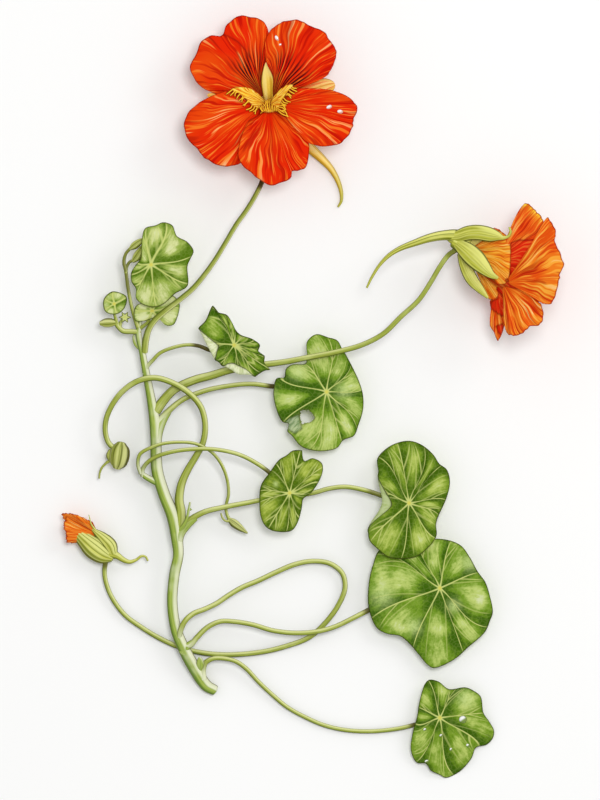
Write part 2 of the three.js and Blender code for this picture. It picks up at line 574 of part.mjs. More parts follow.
const BUDS = {
  top_bud_upper: [
    [-60.2, 48.8, 10.8, 0.5], [-58.7, 49.9, 11, 1.2], [-57, 51.2, 11.1, 1.05], [-55.5, 52.2, 11.2, 0.4],
  ],
  top_bud_lower: [
    [-59.2, 44.7, 10, 0.6], [-58, 46.1, 10.1, 1.4], [-56.8, 48, 10.3, 1.3], [-55.9, 50, 10.4, 0.5],
  ],
  side_bud: [
    [-64.9, 24.6, 8, 0.9], [-66.4, 24.5, 8, 1.45], [-68.4, 24.4, 7.9, 1.45], [-69.9, 24.3, 7.9, 0.8],
  ],
  hanging_bud: [
    [-27.7, -40.2, 4.6, 0.6], [-26, -41.5, 4.5, 1.35], [-23.9, -43.1, 4.3, 1.15], [-21.4, -45, 4.2, 0.3],
  ],
};
const HANGING_BUD_SPUR = [
  [-26.6, -40.8, 4.8, 0.5], [-28.4, -41, 5, 0.4], [-29.6, -40, 5.2, 0.34], [-30.1, -38.5, 5.4, 0.3],
];

const SEED_POD_ROUTE = [
  [-64.6, -24, 4.6, 1], [-64.1, -22.3, 4.7, 2.8], [-63.5, -19.4, 4.8, 3.25], [-63, -16.5, 4.9, 2.9],
  [-62.8, -14.9, 5, 1.1],
];
const SEED_POD_LOBE = [[-66.6, -21, 4.6, 0.7], [-66.9, -19.4, 4.7, 1.2], [-66.5, -17.6, 4.8, 0.8]];
const STYLE_ROUTE = [
  [-66.2, -20.6, 4.5, 0.8], [-68, -21.8, 4.2, 0.45], [-69.5, -23.4, 3.8, 0.38], [-70.2, -25.2, 3.4, 0.34],
  [-70.4, -26.9, 3.2, 0.32],
];

const OPENING_SEPALS = [
  {
    ribs: 8,
    ribDepth: 0.06,
    sides: 16,
    route: [
      [-66.4, -53, 3.9, 1.2], [-69, -52, 3.8, 3.1], [-73, -49, 3.8, 3.9], [-76.6, -45.8, 4, 3.1],
      [-79.3, -43.6, 4.3, 0.8],
    ],
  },
  {
    sides: 8,
    route: [
      [-66.2, -51.6, 4.2, 1.6], [-67.4, -48.8, 4.4, 2.9], [-69.6, -46, 4.6, 2.3], [-72.2, -43.4, 4.8, 0.5],
    ],
  },
];
const OPENING_SPUR = [
  [-68, -51.6, 4, 1.9], [-66, -51.9, 4, 1.6], [-64.4, -52.5, 4, 1.2], [-62.4, -53.8, 3.9, 0.9],
  [-60.4, -54.5, 3.7, 0.7], [-58.1, -53.8, 3.5, 0.5], [-56.4, -52.6, 3.5, 0.42], [-55.1, -52.8, 3.3, 0.38],
  [-54.3, -54.1, 3, 0.34],
];
// Three folded petals that come out of the opening bud, each a fan.
const OPENING_PETALS = [
  {
    apex: [-70.5, -45.5, 4.6],
    rim: [
      [-72.4, -41.5, 5], [-76.6, -39.4, 6], [-80.6, -38.4, 6.6], [-82.6, -38.8, 5.4], [-81.4, -41.6, 4.2],
    ],
  },
  {
    apex: [-70.5, -45.5, 4.2],
    rim: [
      [-81, -39.4, 8], [-82, -42, 7.4], [-81.4, -45, 7.2], [-80.9, -47.9, 5.6], [-78.4, -47.9, 4.4],
    ],
  },
  {
    apex: [-70.5, -45.5, 3.8],
    rim: [
      [-82, -39.6, 3.6], [-81.6, -42.4, 2.2], [-81.6, -45.4, 1.6], [-80.4, -48, 2], [-77, -48.2, 1.8],
      [-74, -48.2, 2.2],
    ],
  },
];

// ---------------------------------------------------------------- open flower

function trumpet(x, y) {
  const away = Math.hypot(x - THROAT[0], y - THROAT[1]);
  return THROAT_Z + TRUMPET_RISE * (1 - Math.exp(-away / TRUMPET_WIDTH)) - TRUMPET_DROOP * away ** 2;
}

// `tuck` lowers the first and the last edge of a petal, where its neighbour lies over it. `claw` is the
// narrow foot that stands on the receptacle.
const OPEN_PETALS = {
  upper_left: {
    apex: [-16, 98.6], layer: -0.2, tuck: [1.2, 0.9], claw: [-17, 100],
    rim: [
      [-30, 99.5], [-33, 100.3], [-36.3, 102], [-38.6, 104.6], [-40.3, 108.9], [-38.6, 112.5],
      [-36.3, 117.2], [-33.3, 119], [-30, 119.1], [-28.4, 122.1], [-26.1, 124.4], [-23.1, 125.7],
      [-19.5, 125.1], [-16.5, 124.1], [-14.9, 121.8], [-14, 118.5],
    ],
  },
  upper_right: {
    apex: [-12.8, 98.6], layer: 1, tuck: [0, 0.9], claw: [-11.8, 100],
    rim: [
      [-15.8, 113.9], [-15.5, 117.2], [-13.9, 120.5], [-11.2, 122.8], [-8.6, 123.8], [-4.3, 124.1],
      [-0.7, 122.1], [3.6, 120.5], [5.9, 117.2], [7.9, 114.3], [7.6, 111.2], [6.3, 107.9], [4.6, 105.6],
      [-0.3, 103.5], [-4, 102.5],
    ],
  },
  lower_right: {
    apex: [-11.9, 96.2], layer: 3.1, tuck: [0, 0], claw: [-10.4, 95.3],
    rim: [
      [-5.2, 101.6], [0.3, 101.6], [4, 101.3], [7.3, 100.7], [11.6, 99], [13.9, 97], [14.9, 95],
      [13.9, 92.1], [13.5, 90.4], [13.2, 88.8], [11.7, 85.6], [8.6, 83.2], [2.6, 82.5], [-1, 83.5],
      [-3.6, 86.1],
    ],
  },
  lower_middle: {
    apex: [-14.2, 95], layer: 2.1, tuck: [0.8, 0], claw: [-14.2, 93.2],
    rim: [
      [-20.8, 91.1], [-22.8, 87.1], [-24.1, 82.5], [-24.1, 77.9], [-20.8, 74.2], [-17.8, 71.9],
      [-13.9, 69.6], [-10.9, 70.3], [-6.9, 72.4], [-6.6, 74.2], [-4.3, 74.6], [-2, 75.6], [-1, 80.5],
      [-1.3, 84.2], [-3.3, 87.9], [-6.6, 91.6],
    ].reverse(),
  },
  lower_left: {
    apex: [-16.5, 96.2], layer: 1, tuck: [1.2, 0], claw: [-18, 95.1],
    rim: [
      [-28, 101], [-34, 98.7], [-38, 96.4], [-41.1, 93.1], [-42.2, 88.8], [-40.9, 84.8], [-37.6, 81.5],
      [-36.3, 79.4], [-34, 77.9], [-29.7, 75.9], [-26.4, 76.1], [-22.8, 77.5], [-19.8, 81.5],
    ].reverse(),
  },
};

const RECEPTACLE = [
  [-14.2, 94.6, 2.4, 1.6], [-14.2, 95.6, 4, 3], [-14.2, 96.5, 5.6, 3.6], [-14.2, 96.7, 6.5, 3.4],
];
const OPEN_SPUR = [
  [-14, 95.4, 4, 3], [-9.9, 92.4, 3.4, 2.4], [-5.3, 87.8, 2.7, 2.1], [-0.7, 82.5, 2, 1.7],
  [3.3, 78.7, 1.3, 1.35], [6.3, 75.4, 1.05, 1.05], [8.6, 71.3, 0.9, 0.8], [9.7, 67.3, 0.8, 0.6],
  [9.6, 64.7, 0.8, 0.45], [8.6, 62.9, 0.9, 0.32],
];
// Sepals of the open flower as heading in degrees, length and half width.
const OPEN_SEPALS = [[92, 14.5, 2.4], [17, 23, 2.6], [172, 20.5, 2.4], [-52, 15, 2.4], [-126, 15, 2.4]];

function openSepal([degrees, length, halfWidth], clear = 0) {
  const [dx, dy] = heading(degrees);
  const row = (share, width) => {
    const x = THROAT[0] + dx * length * share;
    const y = THROAT[1] + dy * length * share;
    return [x, y, trumpet(x, y) - SEPAL_DROP, width * halfWidth];
  };
  const base = [THROAT[0] + dx * 2.8, THROAT[1] + dy * 2.8, 5.6, 0.7 * halfWidth];
  const route = [base, row(5 / length, 0.85), row(0.55, 1), row(0.8, 0.85), row(0.95, 0.4), row(1, 0.16)];
  return sweep(route, { sides: 6, steps: 4, flat: SEPAL_THICKNESS / 2 / halfWidth + 0.05, clear });
}

const openCalyx = (clear = 0) => {
  let shape = sweep(RECEPTACLE, { sides: 10, steps: 3, clear, up: [0, 1, 0] });
  shape = shape.add(sweep(OPEN_SPUR, { sides: 7, steps: 13, clear }));
  for (const sepal of OPEN_SEPALS) shape = shape.add(openSepal(sepal, clear));
  return rest(shape);
};

function openPetal({ apex, layer, tuck, claw, rim }) {
  const height = (u, v, { x, y }) => {
    const edge = tuck[0] * (1 - ease(u / 0.22)) + tuck[1] * (1 - ease((1 - u) / 0.22));
    const bulge = 0.7 * v * Math.sin(Math.PI * u);
    return trumpet(x, y) + PETAL_LAYER * layer - edge * Math.min(1, 1.6 * v) + bulge;
  };
  const flatRim = rim.map(([x, y]) => [x, y, 0]);
  const spread = limb({ apex: [...apex, 0], rim: flatRim, lift: height, pleats: 4.5 });
  const toe = [lerp(THROAT[0], claw[0], 0.5), lerp(THROAT[1], claw[1], 0.5), 7.9, 0.7];
  const heel = [...claw, trumpet(...claw) + PETAL_LAYER * layer * 0.6 - 0.6, 0.9];
  const out = [claw[0] + (claw[0] - THROAT[0]) * 0.9, claw[1] + (claw[1] - THROAT[1]) * 0.9];
  const top = [...out, height(0.5, 0.25, { x: out[0], y: out[1] }), 1.1];
  return join(spread(), sweep([toe, heel, top], { sides: 5, steps: 3, flat: 0.5, up: [0.01, 0.02, 1] }));
}

// Fringe on the lower petals: short bristles about the throat, [heading in degrees, reach] each.
const FRINGES = {
  lower_left: [[168, 11.6], [181, 9.4], [195, 7.6], [211, 6.4]],
  lower_middle: [[244, 3.6], [270, 3], [296, 3.4]],
  lower_right: [[14, 10.2], [0, 8.4], [-15, 7], [-31, 6]],
};

function fringe(name) {
  const { layer } = OPEN_PETALS[name];
  return FRINGES[name].map(([degrees, reach]) => {
    const [dx, dy] = heading(degrees);
    const row = (distance, lift, radius) => {
      const x = THROAT[0] + dx * distance;
      const y = THROAT[1] + dy * distance;
      return [x, y, trumpet(x, y) + PETAL_LAYER * layer + lift, radius];
    };
    const route = [row(reach, 0, 0.42), row(reach + 1.2, 1.1, 0.36), row(reach + 2.6, 1.6, 0.3)];
    return sweep(route, { sides: 3, steps: 1 });
  });
}

// Stamens round a pistil, on a disc above the receptacle.
function openStamens() {
  const [x, y] = THROAT;
  const shapes = [sweep([[x, y, 8.7, 1.2], [x, y, 9.1, 1.1]], { sides: 6, steps: 1, up: [0, 1, 0] })];
  for (let k = 0; k < 5; k += 1) {
    const angle = (2 * Math.PI * k) / 4;
    const spread = k === 4 ? 0 : 0.7;
    const foot = [x + Math.cos(angle) * spread, y + Math.sin(angle) * spread];
    const tip = [x + Math.cos(angle) * spread * 2.1, y + Math.sin(angle) * spread * 2.1];
    const filament = [[...foot, 8.6, 0.36], [...tip, 11.4, 0.36], [...tip, 12.6, 0.5]];
    shapes.push(sweep(filament, { sides: 3, steps: 2, up: [0, 1, 0] }));
  }
  return join(...shapes);
}

// ---------------------------------------------------------------- side flower

const SIDE_RECEPTACLE = [
  [46.6, 51, 19.9, 1.9], [49, 49.6, 19.9, 2.5], [51.4, 47.6, 19.8, 2.3], [52.8, 46.4, 19.8, 1.4],
];
const SIDE_SPUR = [
  [51.5, 51.6, 20, 2.5], [47.5, 53.1, 20, 2], [44, 53.2, 20, 1.7], [39.4, 52.5, 20, 1.45],
  [34.1, 50.8, 19.8, 1.15], [28.7, 48.7, 19.2, 0.85], [25.2, 46.5, 18.8, 0.7], [22.2, 43.4, 18.4, 0.55],
  [19.6, 39.3, 18, 0.45], [18, 36, 17.6, 0.34],
];
// Sepals of the side flower: the dorsal one with its curled tip, two on the near side, two on the far side.
const SIDE_SEPALS = [
  {
    flat: 0.34,
    route: [
      [48.5, 52.2, 21.2, 2], [51.5, 53.9, 23.4, 2.4], [55, 54, 24.6, 2.5], [58.7, 53.3, 25, 2.3],
      [61, 52.8, 25, 1.5], [62.8, 52.3, 24.8, 0.65], [64.4, 52.8, 24.8, 0.45], [65.2, 54.2, 25, 0.4],
      [64.8, 55.8, 25.2, 0.35],
    ],
  },
  {
    flat: 0.28,
    route: [
      [48, 50.2, 21.4, 1.6], [50.6, 48.2, 23.6, 2.9], [53.6, 45.4, 25.2, 3.2], [56.2, 42.7, 26.2, 2.5],
      [58.8, 40.2, 27, 1.3], [61, 39, 27.5, 0.45],
    ],
  },
  {
    flat: 0.4,
    route: [
      [48.9, 47.2, 19.8, 1.2], [50.3, 43.4, 20.2, 1.9], [52.5, 38.8, 20.6, 2], [55.5, 35.2, 21, 1.3],
      [57.8, 32.6, 21.2, 0.4],
    ],
  },
  {
    flat: 0.32,
    route: [[49.5, 48, 17.6, 1.4], [53, 45.4, 13.6, 2.3], [57, 42, 10.6, 2], [60, 39.8, 9, 0.5]],
  },
  {
    flat: 0.32,
    route: [[49.6, 50.4, 18.4, 1.4], [53.8, 50, 16, 2.2], [58.6, 49, 14, 1.9], [62, 48.2, 12.8, 0.5]],
  },
];

const sideCalyx = (clear = 0) => {
  let shape = sweep(SIDE_RECEPTACLE, { sides: 8, steps: 3, clear });
  shape = shape.add(sweep(SIDE_SPUR, { sides: 7, steps: 15, clear }));
  for (const { route, flat } of SIDE_SEPALS) {
    shape = shape.add(sweep(route, { sides: 6, steps: 5, flat, clear }));
  }
  return shape;
};

// Petals of the side flower, each a fan that stands on a narrow claw or on a broad foot, itself a fan from
// the receptacle. They are listed from the topmost down to the one that lies on the surface.
const SIDE_PETALS = {
  near: {
    claw: [
      [53.4, 46.6, 21.8, 0.9], [56.6, 43.8, 23.6, 1.2], [60.6, 40.4, 25, 1.1], [64.8, 37.6, 25.8, 0.9],
    ],
    apex: [63.8, 37.7, 25.4],
    start: 0.07,
    rim: [
      [69.9, 46.4, 27.4], [73.9, 51.2, 27.8], [76, 55.4, 28.2], [77.2, 59, 28.6], [78.7, 57.2, 29.4],
      [79.9, 54, 30.4], [79.7, 51.6, 30.8], [81, 47.6, 32], [82.6, 43.4, 33], [81.2, 40.2, 33.4],
      [80.9, 38, 33.8], [79.7, 33, 33.6], [77.8, 30.4, 32.8], [75.6, 30.6, 31.6],
    ],
  },
  near_lower: {
    claw: [[52.8, 45.5, 19.7, 0.9], [56.6, 41.4, 20.6, 1.2], [60.4, 38, 22, 1.1], [64, 35.6, 23, 0.9]],
    apex: [62.8, 37, 22.6],
    start: 0.08,
    rim: [
      [75.2, 30.6, 29.4], [76, 26.6, 30.2], [74.4, 23.6, 30.4], [71.6, 23, 30.2], [69.2, 21.2, 29.6],
      [66.6, 20, 28.6], [64.6, 20.6, 27.4], [63.6, 22, 26], [63.2, 26, 24.4], [63.2, 30, 23.4],
    ],
  },
  upper_near: {
    foot: {
      apex: [51.8, 48.6, 20.6],
      rim: [[61.4, 55, 21.6], [65, 52, 22.6], [66, 45.4, 23], [65.2, 39, 22.6]],
    },
    apex: [61.4, 45.6, 22.2],
    start: 0.2,
    rim: [
      [65.2, 53, 22.6], [66, 56.4, 22.8], [67.6, 60.6, 22.4], [70.3, 63.7, 22], [73.2, 61.6, 22],
      [75.6, 59, 22.2], [76.2, 56, 22.8], [75, 50.6, 23.6], [71, 44, 23.6], [65.4, 38.9, 22.6],
    ],
  },
  lower: {
    foot: { apex: [51.6, 46.4, 18.6], rim: [[63.4, 35.2, 18.4], [61.6, 31.8, 18], [58.6, 31.6, 17.4]] },
    apex: [60.4, 36.2, 18.1],
    start: 0.2,
    rim: [
      [63.5, 33, 18.2], [63.3, 28, 17.4], [63.4, 24, 16], [62.4, 20.6, 14.6], [61.2, 18.6, 14],
      [59.9, 21.4, 15], [58.6, 23.6, 16], [58.9, 28, 16.6], [58.5, 31.4, 17.2],
    ],
  },
  far: {
    apex: [52.6, 47, 17.4],
    start: 0.12,
    rim: [
      [64.4, 51.6, 15.6], [69.8, 53.6, 12], [74.4, 54.8, 8], [78.2, 50.2, 3.4], [79.2, 44.6, 0.6],
      [78.2, 37.6, 0], [74.6, 31, 0.4], [69.2, 26.6, 2.8], [64.6, 27.8, 6.6], [61.8, 32, 10.4],
    ],
  },
};

function sidePetal({ claw, foot, apex, start, rim }, clear = 0) {
  let shape = limb({ apex, rim, start, pleats: 5, pleat: 0.4, arch: [0, 0, 1] })(clear);
  if (claw) shape = shape.add(sweep(claw, { sides: 6, steps: 4, flat: 0.42, clear }));
  const broad = { start: 0.14, pleat: 0.2, arch: [0, 0, 0.6], around: 6, rings: 3 };
  if (foot) shape = shape.add(limb({ ...foot, ...broad })(clear));
  return shape;
}

// The tips of the stamens inside the side flower's funnel.
function sideStamens() {
  const shapes = [0, 1, 2].map((k) => {
    const [dy, dz] = [Math.cos((2 * Math.PI * k) / 3), Math.sin((2 * Math.PI * k) / 3)];
    const middle = [57, 44 + dy * 0.5, 18.4 + dz * 0.5, 0.36];
    const tip = [62.4 + (k % 2), 40.6 + dy * 1.1, 18.4 + dz * 1.1, 0.36];
    return sweep([[53.2, 46.4, 18.3, 0.6], middle, tip], { sides: 3, steps: 2 });
  });
  return join(...shapes);
}

// ---------------------------------------------------------------- assembly

const plant = new THREE.Group();

function place(name, shape, look) {
  const mesh = shape.simplify(0.02).getMesh();
  const geometry = new THREE.BufferGeometry();
  geometry.setAttribute('position', new THREE.BufferAttribute(new Float32Array(mesh.vertProperties), 3));
  geometry.setIndex(Array.from(mesh.triVerts));
  geometry.computeVertexNormals();
  const piece = new THREE.Mesh(geometry, look.clone());
  piece.name = name;
  plant.add(piece);
}

place('main_stem', mainStem(), STEM);

const YOUNG = ['leaf_a', 'leaf_b', 'leaf_c', 'rosette_leaf'];
for (const [name, row] of Object.entries({ ...LEAVES, rosette_leaf: ROSETTE })) {
  const whole = leaf(row)();
  const eaten = name === 'leaf_e' ? whole.subtract(prism(EATEN_HOLE, 2, 14)) : whole;
  place(name, rest(eaten), YOUNG.includes(name) ? YOUNG_LEAF : LEAF);
}

const bud = (name, clear = 0) => sweep(BUDS[name], { sides: 8, steps: 5, clear });

const seedPod = (clear = 0) =>
  join(
    sweep(SEED_POD_ROUTE, { sides: 14, steps: 6, ribs: 7, ribDepth: 0.06, clear }),
    sweep(SEED_POD_LOBE, { sides: 6, steps: 3, clear }),
    sweep(STYLE_ROUTE, { sides: 4, steps: 5, clear }),
  );

const openingCalyx = (clear = 0) => {
  let shape = sweep(OPENING_SPUR, { sides: 5, steps: 10, clear });
  for (const { route, sides, ribs, ribDepth } of OPENING_SEPALS) {
    shape = shape.add(sweep(route, { sides, steps: 6, ribs, ribDepth, clear }));
  }
  return rest(shape);
};

// Zones that are cut from a stalk besides that of the main stem: what it carries, and the stalk beside it.
const stemZone = mainStem(GAP);
const openZone = openCalyx(GAP);
const sideZone = sideCalyx(GAP);
const openingZone = openingCalyx(GAP);
const sideShootZone = stalk(STALKS.side_shoot, GAP);
const ZONES = {
  top_shoot: [bud('top_bud_upper', GAP), bud('top_bud_lower', GAP)],
  side_shoot: [bud('side_bud', GAP)],
  petiole_c: [sideShootZone, bud('side_bud', GAP)],
  petiole_g: [stalk(STALKS.seed_pod_stalk, GAP)],
  open_flower_stalk: [openZone],
  side_flower_stalk: [sideZone],
  seed_pod_stalk: [seedPod(GAP)],
  bud_stalk: [openingZone],
  hanging_stalk: [stalk(STALKS.petiole_f, GAP), bud('hanging_bud', GAP)],
};
for (const [name, row] of Object.entries(STALKS)) {
  place(name, trim(stalk(row), stemZone, ...(ZONES[name] ?? [])), STALK);
}

for (const name of ['top_bud_upper', 'top_bud_lower', 'side_bud']) place(name, bud(name), POD);
const hangingBud = bud('hanging_bud').add(sweep(HANGING_BUD_SPUR, { sides: 4, steps: 5 }));
place('hanging_bud', trim(hangingBud, stalk(STALKS.hanging_stalk, 0.15)), POD);
place('seed_pod', seedPod(), POD);

place('opening_bud_calyx', openingCalyx(), GREEN_SEPAL);
const folded = OPENING_PETALS.map((row) => limb({ ...row, start: 0.1, pleats: 3, pleat: 0.3 })());
place('opening_bud_petals', trim(join(...folded), openingZone), SIDE_PETAL);

place('open_flower_calyx', openCalyx(), SEPAL);
for (const [name, row] of Object.entries(OPEN_PETALS)) {
  const bristles = FRINGES[name] ? fringe(name) : [];
  place(`open_petal_${name}`, join(openPetal(row), ...bristles), PETAL);
}
place('open_flower_stamens', openStamens(), STAMEN);

place('side_flower_calyx', sideCalyx(), GREEN_SEPAL);
for (const [name, row] of Object.entries(SIDE_PETALS)) {
  place(`side_petal_${name}`, rest(trim(sidePetal(row), sideZone)), SIDE_PETAL);
}
place('side_flower_stamens', trim(sideStamens(), sideZone), STAMEN);

export default plant;
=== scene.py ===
"""Looks of a cut flowering shoot of a climbing nasturtium, laid out as an add-on for Blender 4.5.

Lengths in the tables of this file are millimetres, +Z up from the surface that the shoot lies on, as in the
solids that the pieces stand for.
"""

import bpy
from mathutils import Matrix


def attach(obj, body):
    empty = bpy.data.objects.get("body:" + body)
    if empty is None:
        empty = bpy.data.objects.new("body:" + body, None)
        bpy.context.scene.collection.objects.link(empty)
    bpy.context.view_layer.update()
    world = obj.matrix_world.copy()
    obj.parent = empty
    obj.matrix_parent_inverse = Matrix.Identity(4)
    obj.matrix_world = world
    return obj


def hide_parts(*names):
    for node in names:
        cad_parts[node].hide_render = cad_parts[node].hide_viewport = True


bl_info = {
    "name": "Nasturtium shoot",
    "version": (1, 0, 0),
    "blender": (4, 5, 0),
    "location": "3D View > Sidebar > Nasturtium",
    "description": "Fine leaves, petals, stalks and finishes for a cut nasturtium shoot",
    "category": "Object",
}

import bpy
import numpy as np
from mathutils import Vector

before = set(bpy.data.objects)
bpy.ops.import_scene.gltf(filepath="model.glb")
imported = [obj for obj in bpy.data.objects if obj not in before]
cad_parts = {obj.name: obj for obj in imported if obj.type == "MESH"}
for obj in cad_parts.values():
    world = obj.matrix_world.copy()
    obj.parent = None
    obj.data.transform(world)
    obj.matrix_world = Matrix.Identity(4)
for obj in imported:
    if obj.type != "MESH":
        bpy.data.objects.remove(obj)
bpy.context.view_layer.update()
MM = 0.001


# ---------------------------------------------------------------- sizes and colours


def srgb(red, green, blue):
    """A colour written as it shows on screen, 0 to 255, as the linear values that Blender keeps."""
    shown = np.array([red, green, blue]) / 255
    linear = np.where(shown <= 0.04045, shown / 12.92, ((shown + 0.055) / 1.055) ** 2.4)
    return tuple(float(c) for c in linear)


def length(name, description, default):
    """A length that a user can change; its default is given in millimetres."""
    return bpy.props.FloatProperty(
        name=name, description=description, default=default * MM, min=0.0, unit="LENGTH", precision=5
    )


def colour(name, description, red, green, blue):
    """A colour that a user can change."""
    return bpy.props.FloatVectorProperty(
        name=name, description=description, default=srgb(red, green, blue), subtype="COLOR", min=0.0, max=1.0
    )


class NasturtiumSizes(bpy.types.PropertyGroup):
    leaf_thickness: length("Leaf thickness", "Thickness of a leaf blade", 0.6)
    petal_thickness: length("Petal thickness", "Thickness of a petal", 0.5)
    vein_width: length("Vein width", "Width of a leaf's main veins at their start", 1.1)
    hair_width: length("Fringe width", "Width of a fringe hair", 0.5)
    drop_height: length("Dew height", "Height of a dew drop one millimetre across", 0.42)


class NasturtiumColours(bpy.types.PropertyGroup):
    # The puffed and deep leaf colours, full grown and young, are painted highlight and painted shade: lighter
    # where the blade puffs up, darker along its veins and near its centre.
    leaf_light: colour("Leaf, puffed", "Leaf where it puffs up between its veins", 184, 202, 108)
    leaf_middle: colour("Leaf", "Leaf blade", 112, 148, 34)
    leaf_dark: colour("Leaf, deep", "Leaf in the furrows along its veins", 58, 96, 4)
    young_light: colour("Young leaf, puffed", "Young leaf where it puffs up", 216, 222, 160)
    young_middle: colour("Young leaf", "Young leaf blade", 150, 174, 76)
    young_dark: colour("Young leaf, deep", "Young leaf in its furrows", 84, 118, 16)
    vein: colour("Veins", "Leaf veins", 206, 214, 126)
    petal: colour("Open petals", "Limb of the open flower's petals", 226, 38, 0)
    petal_warm: colour("Open petal warmth", "Orange clouds on the open flower's petals", 232, 78, 8)
    # Streak colours show the petals' own streaks together with a painted highlight along the ridges of their
    # relief; furrow colours are painted shade in the furrows.
    petal_streak: colour("Open petal streaks", "Streaks along the open flower's petals", 246, 132, 34)
    petal_furrow: colour("Open petal furrows", "Furrows of the open flower's petals", 188, 8, 0)
    side_petal: colour("Side petals", "Outside of the side flower's petals", 228, 84, 14)
    side_warm: colour("Side petal warmth", "Orange clouds on the side flower's petals", 238, 134, 32)
    side_streak: colour("Side petal streaks", "Ribs of the side flower's petals", 246, 170, 58)
    side_furrow: colour("Side petal furrows", "Furrows of the side flower's petals", 198, 48, 8)
    claw: colour("Claws", "Yellow foot of the lower petals", 250, 200, 52)
    guide: colour("Guide lines", "Dark lines that lead into the throat", 76, 4, 8)
    sepal: colour("Yellow sepals", "Sepals of the open flower", 246, 206, 76)
    side_sepal: colour("Side sepals", "Sepals and spur of the side flower", 194, 196, 72)
    green_sepal: colour("Green sepals", "Sepals of the opening bud", 198, 200, 84)
    stem: colour("Stem", "Main stem", 168, 186, 84)
    stalk: colour("Stalks", "Leaf and flower stalks", 170, 182, 78)
    bud: colour("Buds", "Closed buds and the seed pod", 176, 184, 86)


class NasturtiumStage(bpy.types.PropertyGroup):
    lens: bpy.props.FloatProperty(
        name="Lens", description="Focal length of the camera", default=500.0, unit="CAMERA"
    )
    key_power: bpy.props.FloatProperty(
        name="Soft light", description="Power of the large soft light", default=10.4, unit="POWER"
    )
    sky: bpy.props.FloatProperty(
        name="Room light", description="Strength of the light from all round", default=0.6
    )


def size(name):
    """A length that a user has set, in millimetres."""
    return getattr(bpy.context.scene.nasturtium_sizes, name) / MM


def chosen_colours():
    """The colours that a user has set."""
    return bpy.context.scene.nasturtium_colours


# ---------------------------------------------------------------- curves and surfaces


def curve(rows, at, closed=False):
    """A smooth curve through the rows, each a place in its first three columns.

    Centripetal Catmull-Rom: every span takes the same share of `at`, and its end slopes come from the
    neighbouring rows, weighted by the square roots of their distances. Every other column is carried along.
    """
    rows = np.asarray(rows, float)
    if closed:
        knots = np.vstack([rows[-1:], rows, rows[:2]])
    else:
        knots = np.vstack([2 * rows[:1] - rows[1:2], rows, 2 * rows[-1:] - rows[-2:-1]])
    spans = len(knots) - 3
    place = np.clip(at, 0, 1) * spans
    first = np.minimum(place.astype(int), spans - 1)
    w = (place - first)[..., None]
    p0, p1, p2, p3 = (knots[first + k] for k in range(4))

    def gap(a, b):
        return np.sqrt(np.maximum(np.linalg.norm((b - a)[..., :3], axis=-1), 1e-6))[..., None]

    d0, d1, d2 = gap(p0, p1), gap(p1, p2), gap(p2, p3)
    start = d1 * ((p1 - p0) / d0 - (p2 - p0) / (d0 + d1) + (p2 - p1) / d1)
    end = d1 * ((p2 - p1) / d1 - (p3 - p1) / (d1 + d2) + (p3 - p2) / d2)
    bend = -3 * p1 + 3 * p2 - 2 * start - end
    twist = 2 * p1 - 2 * p2 + start + end
    return p1 + start * w + bend * w**2 + twist * w**3


def unit(vectors):
    """The vectors at length one."""
    return vectors / np.maximum(np.linalg.norm(vectors, axis=-1, keepdims=True), 1e-9)


def smooth(t):
    """An S-shaped step from 0 to 1 as t goes from 0 to 1."""
    t = np.clip(t, 0, 1)
    return t * t * (3 - 2 * t)


def bell(t):
    """A bump that is 1 at 0 and falls off to both sides, as the exponential of minus t squared."""
    return np.exp(-(t**2))


def ripple(place, seed, waves=5):
    """Gentle unevenness from -1 to 1: a sum of cosines of the place, with turns and phases from a seed."""
    draw = np.random.default_rng(seed)
    turns = draw.normal(0, 1, (waves, np.shape(place)[-1]))
    phases = draw.uniform(0, 2 * np.pi, waves)
    return np.cos(place @ turns.T + phases).mean(axis=-1) * 1.6


def inside(x, y, outline):
    """Which places lie inside a closed outline: they cross it an odd number of times going along +X."""
    crossings = np.zeros(np.shape(x), int)
    for (ax, ay), (bx, by) in zip(outline, outline[1:] + outline[:1]):
        spans = (ay > y) != (by > y)
        level = ax + (y - ay) * (bx - ax) / (by - ay if by != ay else 1e-9)
        crossings += spans & (x < level)
    return crossings % 2 == 1


def to_outline(x, y, outline):
    """The nearest place on a closed outline, and how far it is."""
    best = np.full(np.shape(x), np.inf)
    near = np.stack([x, y], axis=-1)
    for a, b in zip(outline, outline[1:] + outline[:1]):
        a, b = np.array(a, float), np.array(b, float)
        along = ((x - a[0]) * (b - a)[0] + (y - a[1]) * (b - a)[1]) / ((b - a) @ (b - a))
        foot = a + np.clip(along, 0, 1)[..., None] * (b - a)
        distance = np.hypot(x - foot[..., 0], y - foot[..., 1])
        near = np.where((distance < best)[..., None], foot, near)
        best = np.minimum(best, distance)
    return near, best


def signed_distance(x, y, outline):
    """Distance to a closed outline, below zero inside it."""
    return np.where(inside(x, y, outline), -1, 1) * to_outline(x, y, outline)[1]


def quads(rows, columns, closed):
    """Corner numbers of the quads of a grid of points, whose columns close on themselves or don't."""
    i, j = np.meshgrid(np.arange(rows - 1), np.arange(columns if closed else columns - 1), indexing="ij")
    k = (j + 1) % columns
    corners = [i * columns + j, i * columns + k, (i + 1) * columns + k, (i + 1) * columns + j]
    return np.stack(corners, axis=-1).reshape(-1, 4)


